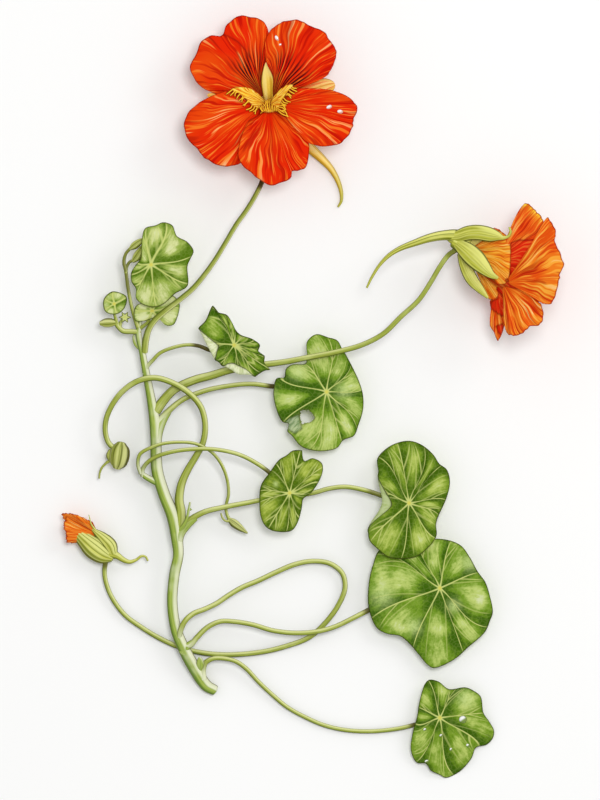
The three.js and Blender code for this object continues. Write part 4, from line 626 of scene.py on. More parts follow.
# Routes of rows (x, y, z, radius), from where a stalk grows out to what it carries.
STALKS = {
    "top_shoot": [
        (-57.5, 23, 8.4, 0.8), (-58.4, 25.6, 8.5, 0.68), (-59.6, 30, 8.8, 0.62), (-60.7, 35.6, 9.4, 0.6),
        (-61.5, 41.6, 10, 0.6), (-62.1, 44.6, 10.3, 0.6), (-61.5, 47.2, 10.5, 0.52), (-60.2, 48.8, 10.6, 0.5),
    ],
    "side_shoot": [
        (-56.8, 21.4, 8, 0.9), (-59.7, 21.6, 8, 0.9), (-62.4, 21.8, 8, 0.9), (-63.9, 23.1, 8, 0.85),
        (-65, 24.6, 8, 0.8),
    ],
    "petiole_a": [
        (-56.8, 25.1, 7.8, 0.75), (-55.6, 28.4, 7.6, 0.65), (-54.5, 33.4, 8, 0.65), (-53.5, 38.3, 10.6, 0.65),
        (-53.1, 41.2, 12.6, 0.65), under("leaf_a", 0.65),
    ],
    "petiole_b": [(-56.6, 22.8, 8.2, 0.7), (-54.4, 24.6, 8.8, 0.55), under("leaf_b", 0.5)],
    "petiole_c": [
        (-64.2, 23.6, 8, 0.7), (-65, 26.4, 8.8, 0.55), (-65.4, 28.4, 9.4, 0.5), under("leaf_c", 0.45),
    ],
    "petiole_d": [
        (-55.4, 7.6, 7.8, 0.8), (-54.3, 10.2, 8.4, 0.68), (-52.8, 11.9, 8.8, 0.62), (-50.2, 14.5, 9.4, 0.6),
        (-46.2, 16.2, 9.9, 0.6), (-41.2, 17.2, 10.2, 0.6), (-37.3, 16.8, 10.4, 0.65), (-33, 15.3, 10.6, 0.7),
        (-29, 16.2, 11.4, 0.65), under("leaf_d", 0.65),
    ],
    "petiole_e": [
        (-51.2, -8.9, 7, 1.3), (-48.5, -5.8, 7, 1.15), (-46.2, -3.5, 6.8, 0.95), (-42.6, -0.8, 6.3, 0.88),
        (-35.6, 2, 5.8, 0.85), (-28.7, 3.5, 5.5, 0.82), (-20.5, 4.3, 5.2, 0.8), (-13.2, 3.5, 5.1, 0.8),
        (-4, 2.3, 5.7, 0.8), under("leaf_e", 0.8),
    ],
    "petiole_f": [
        (-56, -26.1, 7, 0.8), (-55.9, -23.8, 8, 0.72), (-54.1, -21.4, 9.6, 0.7), (-51.2, -19.6, 11, 0.7),
        (-47.5, -18.4, 11.8, 0.7), (-42.6, -17.5, 12.2, 0.7), (-35.6, -17.1, 12.5, 0.7),
        (-30.4, -17.5, 12.2, 0.7), (-24.1, -19, 11, 0.7), (-18.5, -21.8, 9.4, 0.72),
        (-13.9, -25.1, 8.6, 0.72),
        under("leaf_f", 0.72),
    ],
    "petiole_g": [
        (-44.9, -45.9, 6.8, 1.7), (-42.6, -42.9, 7, 1.35), (-40.3, -40.6, 7.3, 1.1), (-35.6, -38, 7.6, 0.95),
        (-28.7, -36.3, 7.6, 0.88), (-21.8, -35, 7, 0.85), (-16.5, -34, 6.4, 0.8), (-7.3, -32.9, 5.6, 0.8),
        (0.3, -31.7, 5.6, 0.8), (5.9, -30.2, 6, 0.8), (11.2, -29.7, 6.2, 0.8), (17.8, -30.9, 6.2, 0.8),
        (25.1, -33.3, 6.6, 0.8), under("leaf_g", 0.8),
    ],
    "petiole_h": [
        (-42.9, -82.5, 5.6, 1), (-40.3, -82, 6, 0.95), (-38.1, -79.5, 5.9, 0.9), (-34.6, -76.1, 5.6, 0.85),
        (-30.4, -74.2, 5.4, 0.82), (-26.1, -74.2, 5.3, 0.82), (-19.8, -75.2, 5.2, 0.82),
        (-12.9, -77.2, 5, 0.82), (-5.6, -78, 4.8, 0.82), (1.7, -77.5, 4.6, 0.82), (7.6, -75.9, 4.2, 0.82),
        (13.5, -73.1, 3.8, 0.82),
        (19.1, -70.3, 3.1, 0.85), (29, -66.3, 3.2, 0.85), under("leaf_h", 0.85),
    ],
    "petiole_i": [
        (-36, -93.4, 3, 1.2), (-36.1, -90.4, 3.3, 1.05), (-35.3, -87.9, 3.9, 0.9), (-32.8, -86.5, 4.1, 0.78),
        (-28.7, -86.5, 4, 0.75), (-25.1, -87.5, 3.5, 0.75), (-21.8, -89.8, 3, 0.75),
        (-17.8, -94.1, 2.3, 0.72), (-12.9, -98.7, 1.7, 0.72), (-8.2, -102.6, 1.3, 0.7),
        (-2.3, -105.9, 1, 0.7), (4, -108.6, 0.9, 0.7), (11.2, -110.2, 0.9, 0.7), (19.8, -110.6, 0.9, 0.7),
        (29, -109.6, 1, 0.7), (35.6, -107.9, 1.4, 0.7),
        under("leaf_i", 0.7),
    ],
    "open_flower_stalk": [
        (-55.4, 14.9, 8.2, 1.2), (-54.9, 18.8, 9.2, 1.15), (-54, 22.1, 10.4, 1.05), (-52.1, 25.1, 11.8, 1),
        (-48.8, 28.1, 12.4, 0.95), (-44.3, 31.6, 12.4, 0.9), (-39.4, 35.7, 12.3, 0.88),
        (-35.8, 39.9, 12.2, 0.85), (-32.2, 44.9, 12, 0.82), (-28.6, 50.8, 11.5, 0.8), (-25, 56.9, 10.8, 0.8),
        (-21.8, 61.4, 10, 0.8), (-19, 66, 9, 0.8), (-16.5, 71.3, 7.8, 0.82), (-15, 78.2, 6.4, 0.85),
        (-14.4, 86.5, 5.2, 0.9), (-14.2, 94.1, 4.6, 0.95),
    ],
    "side_flower_stalk": [
        (-51.5, -4.6, 7.2, 1.7), (-49.5, -1.7, 7.2, 1.6), (-46.5, 1.7, 7.3, 1.5), (-43.2, 3.8, 7.4, 1.45),
        (-38.3, 5.8, 7.5, 1.42), (-33.3, 7.1, 7.6, 1.38), (-28.4, 8.6, 7.9, 1.3), (-22.1, 9.9, 8.4, 1.2),
        (-15.8, 10.7, 9, 1.1), (-8.9, 11.6, 9.9, 1), (-2, 12.9, 10.8, 0.95), (4, 14, 11.5, 0.92),
        (9.6, 15.2, 12.1, 0.9), (16.5, 17.2, 12.8, 0.88), (23.4, 20.8, 13.6, 0.86), (29.4, 26.6, 14.8, 0.85),
        (35, 31.8, 16, 0.82), (39, 37.7, 17.2, 0.82), (42.2, 43.1, 18.3, 0.82), (45, 46.8, 19.2, 0.85),
        (48.4, 49, 19.8, 0.9),
    ],
    "seed_pod_stalk": [
        (-43.6, -42.9, 6.9, 1.8), (-43.4, -38, 7.4, 1.7), (-43.9, -34, 7.8, 1.5), (-43.1, -28.7, 8, 1.35),
        (-40.9, -23.8, 8.2, 1.2), (-38.3, -19.5, 8.4, 1.12), (-36.1, -15.2, 8.6, 1.05), (-35.3, -9.6, 9.2, 1),
        (-36.6, -3.6, 10, 1), (-40.3, 1, 10.7, 1), (-45.5, 4.4, 10.9, 1), (-51.8, 6.3, 10.9, 1),
        (-57.4, 5.3, 10.4, 0.97), (-62.4, 2, 9.3, 0.94), (-66, -2.6, 8, 0.91), (-68, -7.3, 7, 0.9),
        (-68.3, -11.6, 6.2, 0.88), (-67.2, -15.2, 5.5, 0.9), (-64.8, -17.5, 5, 0.95),
    ],
    "bud_stalk": [
        (-44.1, -80.9, 5.6, 1), (-43.6, -77.5, 7, 0.95), (-41.9, -73.9, 7.4, 0.9), (-39.3, -71.6, 7, 0.88),
        (-35.3, -70, 6.4, 0.85), (-31.4, -68.1, 5.8, 0.85), (-27.7, -65.6, 5.2, 0.85),
        (-23.1, -62.9, 4.6, 0.85), (-17.8, -60.7, 4.1, 0.85), (-11.9, -57.9, 3.6, 0.85),
        (-5.6, -55.3, 3.2, 0.85), (0.3, -54.3, 2.9, 0.85), (5.9, -55.1, 2.6, 0.85), (9.9, -58.2, 2.4, 0.85),
        (10.9, -63, 2.2, 0.85), (8.7, -68.8, 2, 0.85), (4.5, -74.6, 1.7, 0.85), (-1, -79.5, 1.4, 0.85),
        (-8.2, -82.3, 1.2, 0.85), (-15.8, -84.2, 1.1, 0.85), (-25.1, -85.2, 1, 0.85), (-32.3, -85.1, 1, 0.85),
        (-38.6, -84.2, 1, 0.85), (-44.6, -82.5, 1.05, 0.85), (-51.2, -79.4, 1.2, 0.83),
        (-56.4, -76.2, 1.4, 0.8), (-61.7, -72.3, 1.7, 0.8), (-65.3, -67.8, 2, 0.8), (-67.5, -63.4, 2.4, 0.78),
        (-68.6, -58.7, 2.9, 0.78), (-68.3, -54.8, 3.5, 0.85), (-67.4, -52.5, 3.9, 0.95),
    ],
    "hanging_stalk": [
        (-56.6, -25.2, 7.4, 0.72), (-57.5, -22.4, 8.6, 0.62), (-56.8, -18.9, 9.9, 0.6),
        (-53.4, -16.8, 10.7, 0.6), (-49.2, -15.4, 10.9, 0.58), (-43.9, -14.9, 11, 0.56),
        (-38.9, -15.3, 10.8, 0.55), (-35.6, -16.6, 10.5, 0.55), (-32.7, -18.6, 9.7, 0.55),
        (-29.9, -22.3, 8.4, 0.55), (-28.1, -27.1, 6.9, 0.53), (-27.6, -32, 5.6, 0.52),
        (-28.4, -36, 4.9, 0.52), (-28.2, -38.6, 4.7, 0.55), (-27.4, -40.4, 4.6, 0.6),
    ],
}
FORKS = {
    "top_shoot": [
        [(-61.5, 40.9, 10, 0.6), (-61.1, 43.1, 10, 0.5), (-60.1, 44.6, 10, 0.5), (-58.9, 45, 10, 0.5)],
    ],
    "side_shoot": [[(-63.6, 23, 8, 0.7), (-63, 25, 8, 0.55), (-62.1, 26, 8, 0.5)]],
}
BROWN_BEFORE = 3.2  # distance from there at which it starts to turn brown
BROWN_BLEND = 2.6
JOIN_BLOOM = 7  # how far the bloom of a node reaches along a stalk
# How brown a stalk is where it goes under what it carries, and the share of its length where that is, if it
# isn't where it passes the margin of its leaf.
BROWN_ENDS = {
    "petiole_d": (0.9, None), "petiole_e": (0.95, None), "petiole_f": (0.8, None), "petiole_g": (0.6, None),
    "petiole_h": (0.85, None), "petiole_i": (0.85, None), "open_flower_stalk": (0.95, 0.741),
    "top_shoot": (0.5, 0.5),
    "side_flower_stalk": (0.5, 0.978), "bud_stalk": (0.7, 0.986),
}
FROM_THE_STEM = (
    "petiole_e", "petiole_g", "petiole_h", "petiole_i", "petiole_f", "hanging_stalk", "bud_stalk", "petiole_d",
)  # stalks that share the pale bloom of the node that they grow from

# ---------------------------------------------------------------- buds and seed pod

BUDS = {
    "top_bud_upper": [
        (-60.2, 48.8, 10.8, 0.5), (-58.7, 49.9, 11, 1.2), (-57, 51.2, 11.1, 1.05), (-55.5, 52.2, 11.2, 0.4),
    ],
    "top_bud_lower": [
        (-59.2, 44.7, 10, 0.6), (-58, 46.1, 10.1, 1.4), (-56.8, 48, 10.3, 1.3), (-55.9, 50, 10.4, 0.5),
    ],
    "side_bud": [
        (-64.9, 24.6, 8, 0.9), (-66.4, 24.5, 8, 1.45), (-68.4, 24.4, 7.9, 1.45), (-69.9, 24.3, 7.9, 0.8),
    ],
    "hanging_bud": [
        (-27.7, -40.2, 4.6, 0.6), (-26, -41.5, 4.5, 1.35), (-23.9, -43.1, 4.3, 1.15), (-21.4, -45, 4.2, 0.3),
    ],
}
HANGING_BUD_SPUR = [
    (-26.6, -40.8, 4.8, 0.5), (-28.4, -41, 5, 0.4), (-29.6, -40, 5.2, 0.34), (-30.1, -38.5, 5.4, 0.3),
]
SEED_POD = [
    (-64.5, -23.3, 4.6, 1.5), (-64.2, -22.2, 4.7, 2.6), (-63.7, -19.3, 4.8, 3.25), (-63.3, -16.6, 4.9, 2.7),
    (-63.1, -15.4, 5, 1.6),
]
SEED_POD_LOBE = [(-66.6, -21, 4.6, 0.7), (-66.9, -19.4, 4.7, 1.2), (-66.5, -17.6, 4.8, 0.8)]
STYLE = [
    (-66.2, -20.6, 4.5, 0.8), (-68, -21.8, 4.2, 0.45), (-69.5, -23.4, 3.8, 0.38), (-70.2, -25.2, 3.4, 0.34),
    (-70.4, -26.9, 3.2, 0.32),
]
# The route of each sepal, and how many ribs it has.
OPENING_SEPALS = [
    (
        [
            (-66.2, -53.4, 3.9, 1.2), (-68.6, -52.4, 3.8, 2.9), (-72, -50, 3.8, 3.6), (-75.4, -47, 4, 2.7),
            (-78, -44.6, 4.3, 1.7), (-79.5, -43.4, 4.4, 0.7),
        ],
        13,
    ),
    (
        [
            (-65.8, -51.6, 4.2, 1.6), (-66.8, -49.2, 4.4, 2.3), (-69.4, -46.4, 4.7, 1.8),
            (-72.6, -43.7, 4.9, 0.5),
        ],
        9,
    ),
    ([(-71.6, -44, 5.3, 0.4), (-73, -42, 5.5, 0.26), (-73.4, -40.4, 5.5, 0.17), (-73.8, -38.9, 5.5, 0.12)], 0),
]
OPENING_SPUR = [
    (-68, -51.6, 4, 1.9), (-66, -51.9, 4, 1.6), (-64.4, -52.5, 4, 1.2), (-62.4, -53.8, 3.9, 0.9),
    (-60.4, -54.5, 3.7, 0.7), (-58.1, -53.8, 3.5, 0.5), (-56.4, -52.6, 3.5, 0.42), (-55.1, -52.8, 3.3, 0.38),
    (-54.3, -54.1, 3, 0.34),
]
OPENING_PETALS = [
    ((-70.5, -45.5, 4.6), [(-72.4, -41.5, 5), (-76.6, -39.4, 6), (-80.6, -38.4, 6.6), (-82.6, -38.8, 5.4),
                           (-81.4, -41.6, 4.2)]),
    ((-70.5, -45.5, 4.2), [(-81, -39.4, 8), (-82, -42, 7.4), (-81.4, -45, 7.2), (-80.9, -47.9, 5.6),
                           (-78.4, -47.9, 4.4)]),
    ((-70.5, -45.5, 3.8), [(-82, -39.6, 3.6), (-81.6, -42.4, 2.2), (-81.6, -45.4, 1.6), (-80.4, -48, 2),
                           (-77, -48.2, 1.8), (-74, -48.2, 2.2)]),
]

# ---------------------------------------------------------------- open flower

THROAT = np.array([-14.2, 96.7])
THROAT_Z = 9
TRUMPET_RISE = 8.6
TRUMPET_WIDTH = 5.5
TRUMPET_DROOP = 0.0022
PETAL_LAYER = 1.15  # height from one petal to the one that lies over it
CREASE_STEP = 0.55  # how far the limb steps up past a crease
CRINKLE = 0.12

# Each limb's outline and the apex that its rays start from, its layer, how far either edge tucks in under the
# next petal, and what else makes its look.
OPEN_PETALS = {
    "upper_left": {
        "apex": (-16, 98.6), "layer": -0.2, "tuck": (1.2, 0.9),
        "look": {
            "guides": 1.0, "guides_from": 0.3, "narrow": ((0, 1), (1.5, 0.6)),
            "crease": [(-30.6, 119.6), (-27.4, 118.3), (-24.6, 116.7), (-22.4, 114.2), (-20.9, 111.6),
                       (-18.8, 107.4), (-17.2, 103.2), (-17.2, 96), (-50, 96), (-50, 125)],
        },
        "rim": [
            (-30, 99.5), (-33, 100.3), (-36.3, 102), (-38.6, 104.6), (-40.3, 108.9), (-38.6, 112.5),
            (-36.3, 117.2), (-33.3, 119), (-30, 119.1), (-28.4, 122.1), (-26.1, 124.4), (-23.1, 125.7),
            (-19.5, 125.1), (-16.5, 124.1), (-14.9, 121.8), (-14, 118.5),
        ],
    },
    "upper_right": {
        "apex": (-12.8, 98.6), "layer": 1, "tuck": (0, 0.9),
        "look": {"guides": 1.0, "narrow": ((1.3, 0.78), (0, 1))},
        "rim": [
            (-15.8, 113.9), (-15.5, 117.2), (-13.9, 120.5), (-11.2, 122.8), (-8.6, 123.8), (-4.3, 124.1),
            (-0.7, 122.1), (3.6, 120.5), (5.9, 117.2), (7.9, 114.3), (7.6, 111.2), (6.3, 107.9), (4.6, 105.6),
            (-0.3, 103.5), (-4, 102.5),
        ],
    },
    "lower_right": {
        "apex": (-11.9, 96.2), "layer": 3.1, "tuck": (0, 0), "look": {},
        "rim": [
            (-5.2, 101.6), (0.3, 101.6), (4, 101.3), (7.3, 100.7), (11.6, 99), (13.9, 97), (14.9, 95),
            (13.9, 92.1), (13.5, 90.4), (13.2, 88.8), (11.7, 85.6), (8.6, 83.2), (2.6, 82.5), (-1, 83.5),
            (-3.6, 86.1),
        ],
    },
    "lower_middle": {
        "apex": (-14.2, 95), "layer": 2.1, "tuck": (0.8, 0), "look": {},
        "rim": [
            (-20.8, 91.1), (-22.8, 87.1), (-24.1, 82.5), (-24.1, 77.9), (-20.8, 74.2), (-17.8, 71.9),
            (-13.9, 69.6), (-10.9, 70.3), (-6.9, 72.4), (-6.6, 74.2), (-4.3, 74.6), (-2, 75.6), (-1, 80.5),
            (-1.3, 84.2), (-3.3, 87.9), (-6.6, 91.6),
        ][::-1],
    },
    "lower_left": {
        "apex": (-16.5, 96.2), "layer": 1, "tuck": (1.2, 0), "look": {},
        "rim": [
            (-28, 101), (-34, 98.7), (-38, 96.4), (-41.1, 93.1), (-42.2, 88.8), (-40.9, 84.8), (-37.6, 81.5),
            (-36.3, 79.4), (-34, 77.9), (-29.7, 75.9), (-26.4, 76.1), (-22.8, 77.5), (-19.8, 81.5),
        ][::-1],
    },
}
# The yellow feet of the two outer lower petals, and the lines that their fringe hairs start and end on.
CLAWS = {
    "lower_left": {
        "apex": (-14.5, 96.4), "raise": 0.9,
        "rim": [
            (-15.6, 94.9), (-17.3, 95), (-18.9, 95.4), (-20.3, 96.5), (-21.7, 98), (-23.2, 99.2),
            (-24.8, 100.4), (-26.5, 101.3), (-25.4, 102), (-23.4, 102.14), (-21.2, 101.9), (-19.4, 101),
            (-18, 99.7), (-16.33, 98.05),
        ],
        "base": [
            (-25.84, 101.6), (-24.51, 100.6), (-22.96, 99.5), (-21.42, 98.4), (-20.09, 96.9), (-18.76, 95.9),
            (-17.22, 95.5), (-15.45, 95.2),
        ],
        "tip": [
            (-28.05, 99.8), (-26, 98.6), (-24.5, 97.5), (-23.2, 96.4), (-22.1, 95.2), (-20.8, 93.8),
            (-18.5, 93.2), (-16, 93.6),
        ],
        "hairs": 14,
    },
    "lower_right": {
        "apex": (-14, 96.4), "raise": 0.6,
        "rim": [
            (-12.2, 94.9), (-10.6, 95.4), (-10.1, 96.9), (-9.3, 98.6), (-8.3, 100.1), (-7.2, 101.6),
            (-6.2, 102.7), (-7.5, 102.95), (-8.8, 102.5), (-10.36, 101.37), (-11.9, 99.8), (-13.02, 98.27),
        ],
        "base": [
            (-6.94, 102.4), (-7.71, 100.9), (-8.82, 99.6), (-9.7, 98.49), (-10.36, 96.95), (-11.03, 95.84),
            (-11.6, 95), (-11.2, 94.2),
        ],
        "tip": [
            (-4.62, 101.37), (-5.7, 99.6), (-6.5, 98.3), (-7.5, 97), (-8.1, 95.6), (-8.5, 94.2), (-8.4, 93),
            (-7.7, 91.9),
        ],
        "hairs": 14,
    },
}
MIDDLE_CLAW = [(-17.4, 95.6), (-16.6, 94.2), (-14.2, 93.6), (-11.8, 94.2), (-11, 95.6)]
MIDDLE_CLAW_RAISE, MIDDLE_TUFT_RAISE = 3.4, 4  # heights over the trumpet
MIDDLE_TUFT = (
    [(-16.4, 94), (-15.2, 94.3), (-13.5, 94.5), (-11.8, 94.2)],
    [(-17.2, 95.6), (-15.6, 97.4), (-14.4, 97.9), (-13.2, 97.7), (-11.4, 96)],
)
RECEPTACLE = [(-14.2, 94.6, 2.4, 1.6), (-14.2, 95.6, 4, 3), (-14.2, 96.5, 5.6, 3.6), (-14.2, 96.7, 6.5, 3.4)]
OPEN_SPUR = [
    (-14, 95.4, 4, 3), (-9.9, 92.4, 3.4, 2.4), (-5.3, 87.8, 2.7, 2.1), (-0.7, 82.5, 2, 1.7),
    (3.3, 78.7, 1.3, 1.35), (6.3, 75.4, 1.05, 1.05), (8.6, 71.3, 0.9, 0.8), (9.7, 67.3, 0.8, 0.6),
    (9.6, 64.7, 0.8, 0.45), (8.6, 62.9, 0.9, 0.32),
]
# Heading in degrees, length, half width and bluntness of each sepal.
OPEN_SEPALS = [
    (92, 14.5, 2.9, 0), (16.5, 22.6, 3.1, 1), (172, 20.5, 2.4, 0), (-52, 15, 2.4, 0), (-126, 15, 2.4, 0),
]

# ---------------------------------------------------------------- side flower

SIDE_RECEPTACLE = [
    (46.6, 51, 19.9, 1.9), (49, 49.6, 19.9, 2.5), (51.4, 47.6, 19.8, 2.3), (52.8, 46.4, 19.8, 1.4),
]
SIDE_SPUR = [
    (51.5, 51.6, 20, 2.5), (47.5, 53.1, 20, 2), (44, 53.2, 20, 1.7), (39.4, 52.5, 20, 1.45),
    (34.1, 50.8, 19.8, 1.15), (28.7, 48.7, 19.2, 0.85), (25.2, 46.5, 18.8, 0.7), (22.2, 43.4, 18.4, 0.55),
    (19.6, 39.3, 18, 0.45), (18, 36, 17.6, 0.34),
]
# How flat each sepal is, and its route.
SIDE_SEPALS = [
    (0.34, [
        (43.6, 52.9, 20, 0.8), (47.4, 52.8, 21.4, 1.9), (51.5, 53.9, 23.4, 2.4), (55, 54, 24.6, 2.5),
        (58.7, 53.3, 25, 2.3), (61, 52.8, 25, 1.5), (62.8, 52.3, 24.8, 0.65), (64.4, 52.8, 24.8, 0.45),
        (65.2, 54.2, 25, 0.4), (64.8, 55.8, 25.2, 0.35),
    ]),
    (0.28, [
        (44.6, 52, 19.6, 0.5), (47, 50.9, 21, 1.4), (50.6, 48.2, 23.6, 2.9), (53.6, 45.4, 25.2, 3.2),
        (56.2, 42.7, 26.2, 2.5), (58.8, 40.2, 27, 1.3), (61, 39, 27.5, 0.45),
    ]),
    (0.4, [
        (48.9, 47.2, 19.8, 1.2), (50.3, 43.4, 20.2, 1.9), (52.5, 38.8, 20.6, 2), (55.5, 35.2, 21, 1.3),
        (57.8, 32.6, 21.2, 0.4),
    ]),
    (0.32, [(49.5, 48, 17.6, 1.4), (53, 45.4, 13.6, 2.3), (57, 42, 10.6, 2), (60, 39.8, 9, 0.5)]),
    (0.32, [(49.6, 50.4, 18.4, 1.4), (53.8, 50, 16, 2.2), (58.6, 49, 14, 1.9), (62, 48.2, 12.8, 0.5)]),
]
# Outlines and apexes as above, in rows (x, y, z). Some petals have a claw, a foot inside the calyx or a second
# lobe.
SIDE_PETALS = {
    "near": {
        "claw": [
            (53.4, 46.6, 20.6, 0.5), (56.6, 43.8, 21, 0.6), (60.6, 40.4, 21.8, 0.6), (64.4, 38.1, 23.9, 0.6),
        ],
        "apex": (63.8, 37.7, 25.4), "start": 0.05, "look": {"narrow": ((1.1, 1), (0, 1)), "frill": 0.7},
        "rim": [
            (69.6, 44.6, 27.4), (73.7, 50.2, 27.8), (75.8, 55, 28.2), (77.2, 59, 28.6), (78.7, 57.2, 29.4),
            (79.9, 54, 30.4), (79.7, 51.6, 30.8), (81, 47.6, 32), (82.6, 43.4, 33), (81.2, 40.2, 33.4),
            (80.9, 38, 33.8), (79.7, 33, 33.6), (77.8, 30.4, 32.8), (75.6, 30.6, 31.6),
        ],
    },
    "near_lower": {
        "claw": [(52.8, 45.5, 19.7, 0.9), (56.6, 41.4, 20.6, 1.2), (60.4, 38, 22, 1.1), (64, 35.6, 23, 0.9)],
        "apex": (62.8, 37, 22.6), "start": 0.06, "look": {"frill": 0.5, "narrow": ((-1.3, 1), (0, 1))},
        "rim": [
            (75.2, 30.6, 29.4), (76, 26.6, 30.2), (74.4, 23.6, 30.4), (71.6, 23, 30.2), (69.2, 21.2, 29.6),
            (66.6, 20, 28.6), (64.6, 20.6, 27.4), (63.6, 22, 26), (63.2, 26, 24.4), (63.2, 30, 23.4),
        ],
    },
    "upper_near": {
        "foot": ((51.8, 48.6, 20.6), [
            (61.4, 55, 22.4), (64, 53, 22.8), (65.2, 50, 23.2), (65.3, 45, 23.6), (64.7, 39, 23.6),
            (63.6, 37.2, 23.4), (61, 37, 22.8),
        ]),
        "lobe": ((58.4, 52.4, 20.4), [
            (57.4, 54.2, 20.4), (58.4, 55.3, 20.2), (60.2, 55.6, 20), (61.8, 54.9, 20), (62.6, 53.4, 20.2),
        ]),
        "apex": (61.4, 45.6, 22.2), "start": 0.2,
        "look": {
            "gilt": (0.28, 0.62), "inner": 0.5,
            "red": [[(65.3, 50.64), (68.2, 51.6), (73.8, 51.6), (76, 50), (76, 38), (64.6, 37), (64.4, 38)]],
        },
        "rim": [
            (65.2, 53, 22.6), (66, 56.4, 22.8), (67.6, 60.6, 22.4), (70.3, 63.7, 22), (73.2, 61.6, 22),
            (75.6, 59, 22.2), (76.2, 56, 22.8), (75, 50.6, 23.6), (71, 44, 23.6), (65.4, 38.9, 22.6),
        ],
    },
    "lower": {
        "foot": ((51.6, 46.4, 18.6), [
            (61.4, 36.6, 18.6), (60.6, 35, 18.7), (61.3, 33.9, 18.5), (61, 32.8, 18.3),
            (59.6, 32, 17.9), (58.2, 32.2, 17.4),
        ]),
        "apex": (60.4, 36.2, 18.1), "start": 0.2,
        "look": {
            "red": [
                [(63.6, 36.6), (60.95, 36.1), (60.7, 33.9), (61.2, 32.5), (58.8, 31.3), (59, 29.1),
                 (62.4, 26.7), (63.6, 27)],
                [(62.9, 24.3), (60.5, 23.3), (61.2, 21.8), (62.6, 20.2)],
            ],
        },
        "rim": [
            (63.5, 33, 18.2), (63.3, 28, 17.4), (63.4, 24, 16), (62.4, 20.6, 14.6), (61.2, 18.6, 14),
            (59.9, 21.4, 15), (58.6, 23.6, 16), (58.9, 28, 16.6), (58.5, 31.4, 17.2),
        ],
    },
    "far": {
        "apex": (52.6, 47, 17.4), "start": 0.12, "look": {"inner": 1.0},
        "rim": [
            (64.4, 51.6, 15.6), (69.8, 53.6, 12), (74.4, 54.8, 8), (78.2, 50.2, 3.4), (79.2, 44.6, 0.6),
            (78.2, 37.6, 0), (74.6, 31, 0.4), (69.2, 26.6, 2.8), (64.6, 27.8, 6.6), (61.8, 32, 10.4),
        ],
    },
}


def trumpet(x, y):
    """Height of the open flower's trumpet: a steep rise from the throat that levels off and droops."""
    away = np.hypot(x - THROAT[0], y - THROAT[1])
    return THROAT_Z + TRUMPET_RISE * (1 - np.exp(-away / TRUMPET_WIDTH)) - TRUMPET_DROOP * away**2


def fan(apex, rim, start, seed, columns=130, rows=56, pleats=5.0, pleat=0.35, arch=0.0, lift=None,
        narrow=((0, 1), (0, 1)), inner=0.0, red=(), guides=0.0, guides_from=-1.0, claw=0.0, gilt=(2, 2),
        frill=0.35, crease=None):
    """A petal limb: rays from its apex to its margin.

    Each place is the apex plus the share v of the way to the margin, arched up by 4v(1 - v) times the sine
    across the fan, and pleated along its rays as v times a cosine across it; sums of cosines crinkle it, and
    its margin ripples by `frill`. `narrow` pulls either straight edge inward as a squared sine up to a share of
    its length. Past a `crease` the limb steps up and slopes off again.
    """
    u, v = np.meshgrid(np.linspace(0, 1, columns), np.linspace(start, 1, rows))
    edge = curve([(*row, 0)[:3] for row in rim], u[0])
    apex = np.array((*apex, 0)[:3], float)
    rays, reach = unit(edge - apex), np.linalg.norm(edge - apex, axis=-1)
    place = apex + (edge - apex) * v[..., None]
    place[..., 2] += arch * (4 * v * (1 - v) * np.sin(np.pi * u))
    sideways = np.stack([-rays[:, 1], rays[:, 0], np.zeros(columns)], axis=-1)
    turning = np.sign(np.cross(rays[0, :2], rays[columns // 2, :2]))
    for way, (amount, share), near in ((turning, narrow[0], u), (-turning, narrow[1], 1 - u)):
        pull = way * amount * np.sin(np.pi * np.clip(v / share, 0, 1)) ** 2 * (1 - smooth(near / 0.35))
        place += sideways * pull[..., None]
    crinkle = ripple(np.stack([u * 26, v * 2.2], -1), seed, 7)
    wave = ripple(np.stack([u * 9, v * 1.5], -1), seed + 1, 5)
    ragged = frill * 0.5 * smooth((v - 0.9) / 0.1) * ripple(u[..., None] * 60, seed + 2)
    place += rays * ragged[..., None]
    if lift is not None:
        place[..., 2] += lift(place[..., 0], place[..., 1], u, v)
    place[..., 2] += pleat * np.cos(2 * np.pi * pleats * u) * v
    place[..., 2] += (CRINKLE * crinkle + frill * 0.5 * wave * smooth((v - 0.4) / 0.6)) * smooth(v * 2)
    # fold: a dark line along the crease and round the red patches, painted shade where the limb steps or curls
    fold = np.zeros_like(u)
    if crease is not None:
        past = -signed_distance(place[..., 0], place[..., 1], crease)
        place[..., 2] += CREASE_STEP * smooth(0.5 + past / 0.5) * np.exp(-np.maximum(past, 0) / 4)
        fold = bell((past + 0.25) / 0.35)
    for patch in red:
        gap = signed_distance(place[..., 0], place[..., 1], patch)
        inner = np.maximum(inner, smooth(0.5 - gap / 0.4))
        fold = np.maximum(fold, bell(gap / 0.3))
    margin = np.minimum((1 - v) * reach, np.minimum(u, 1 - u) * reach * v * 2.2)
    gold = np.minimum(1, 1.7 * np.exp(-margin / 1.1)) * smooth((u - gilt[0]) / 0.05)
    gold *= smooth((gilt[1] - u) / 0.05)
    values = {
        "across": u, "out": v, "reach": v * reach, "rim": margin, "fold": fold, "inner": inner,
        "turn": seed * 1.7, "guides": guides * smooth((u - guides_from) / 0.18),
        "claw": np.maximum(claw, gold),
    }
    half = size("petal_thickness") / 2 * np.sqrt(np.clip(margin / THINNING, 0.1, 1))
    return shell(place, half, False, values)


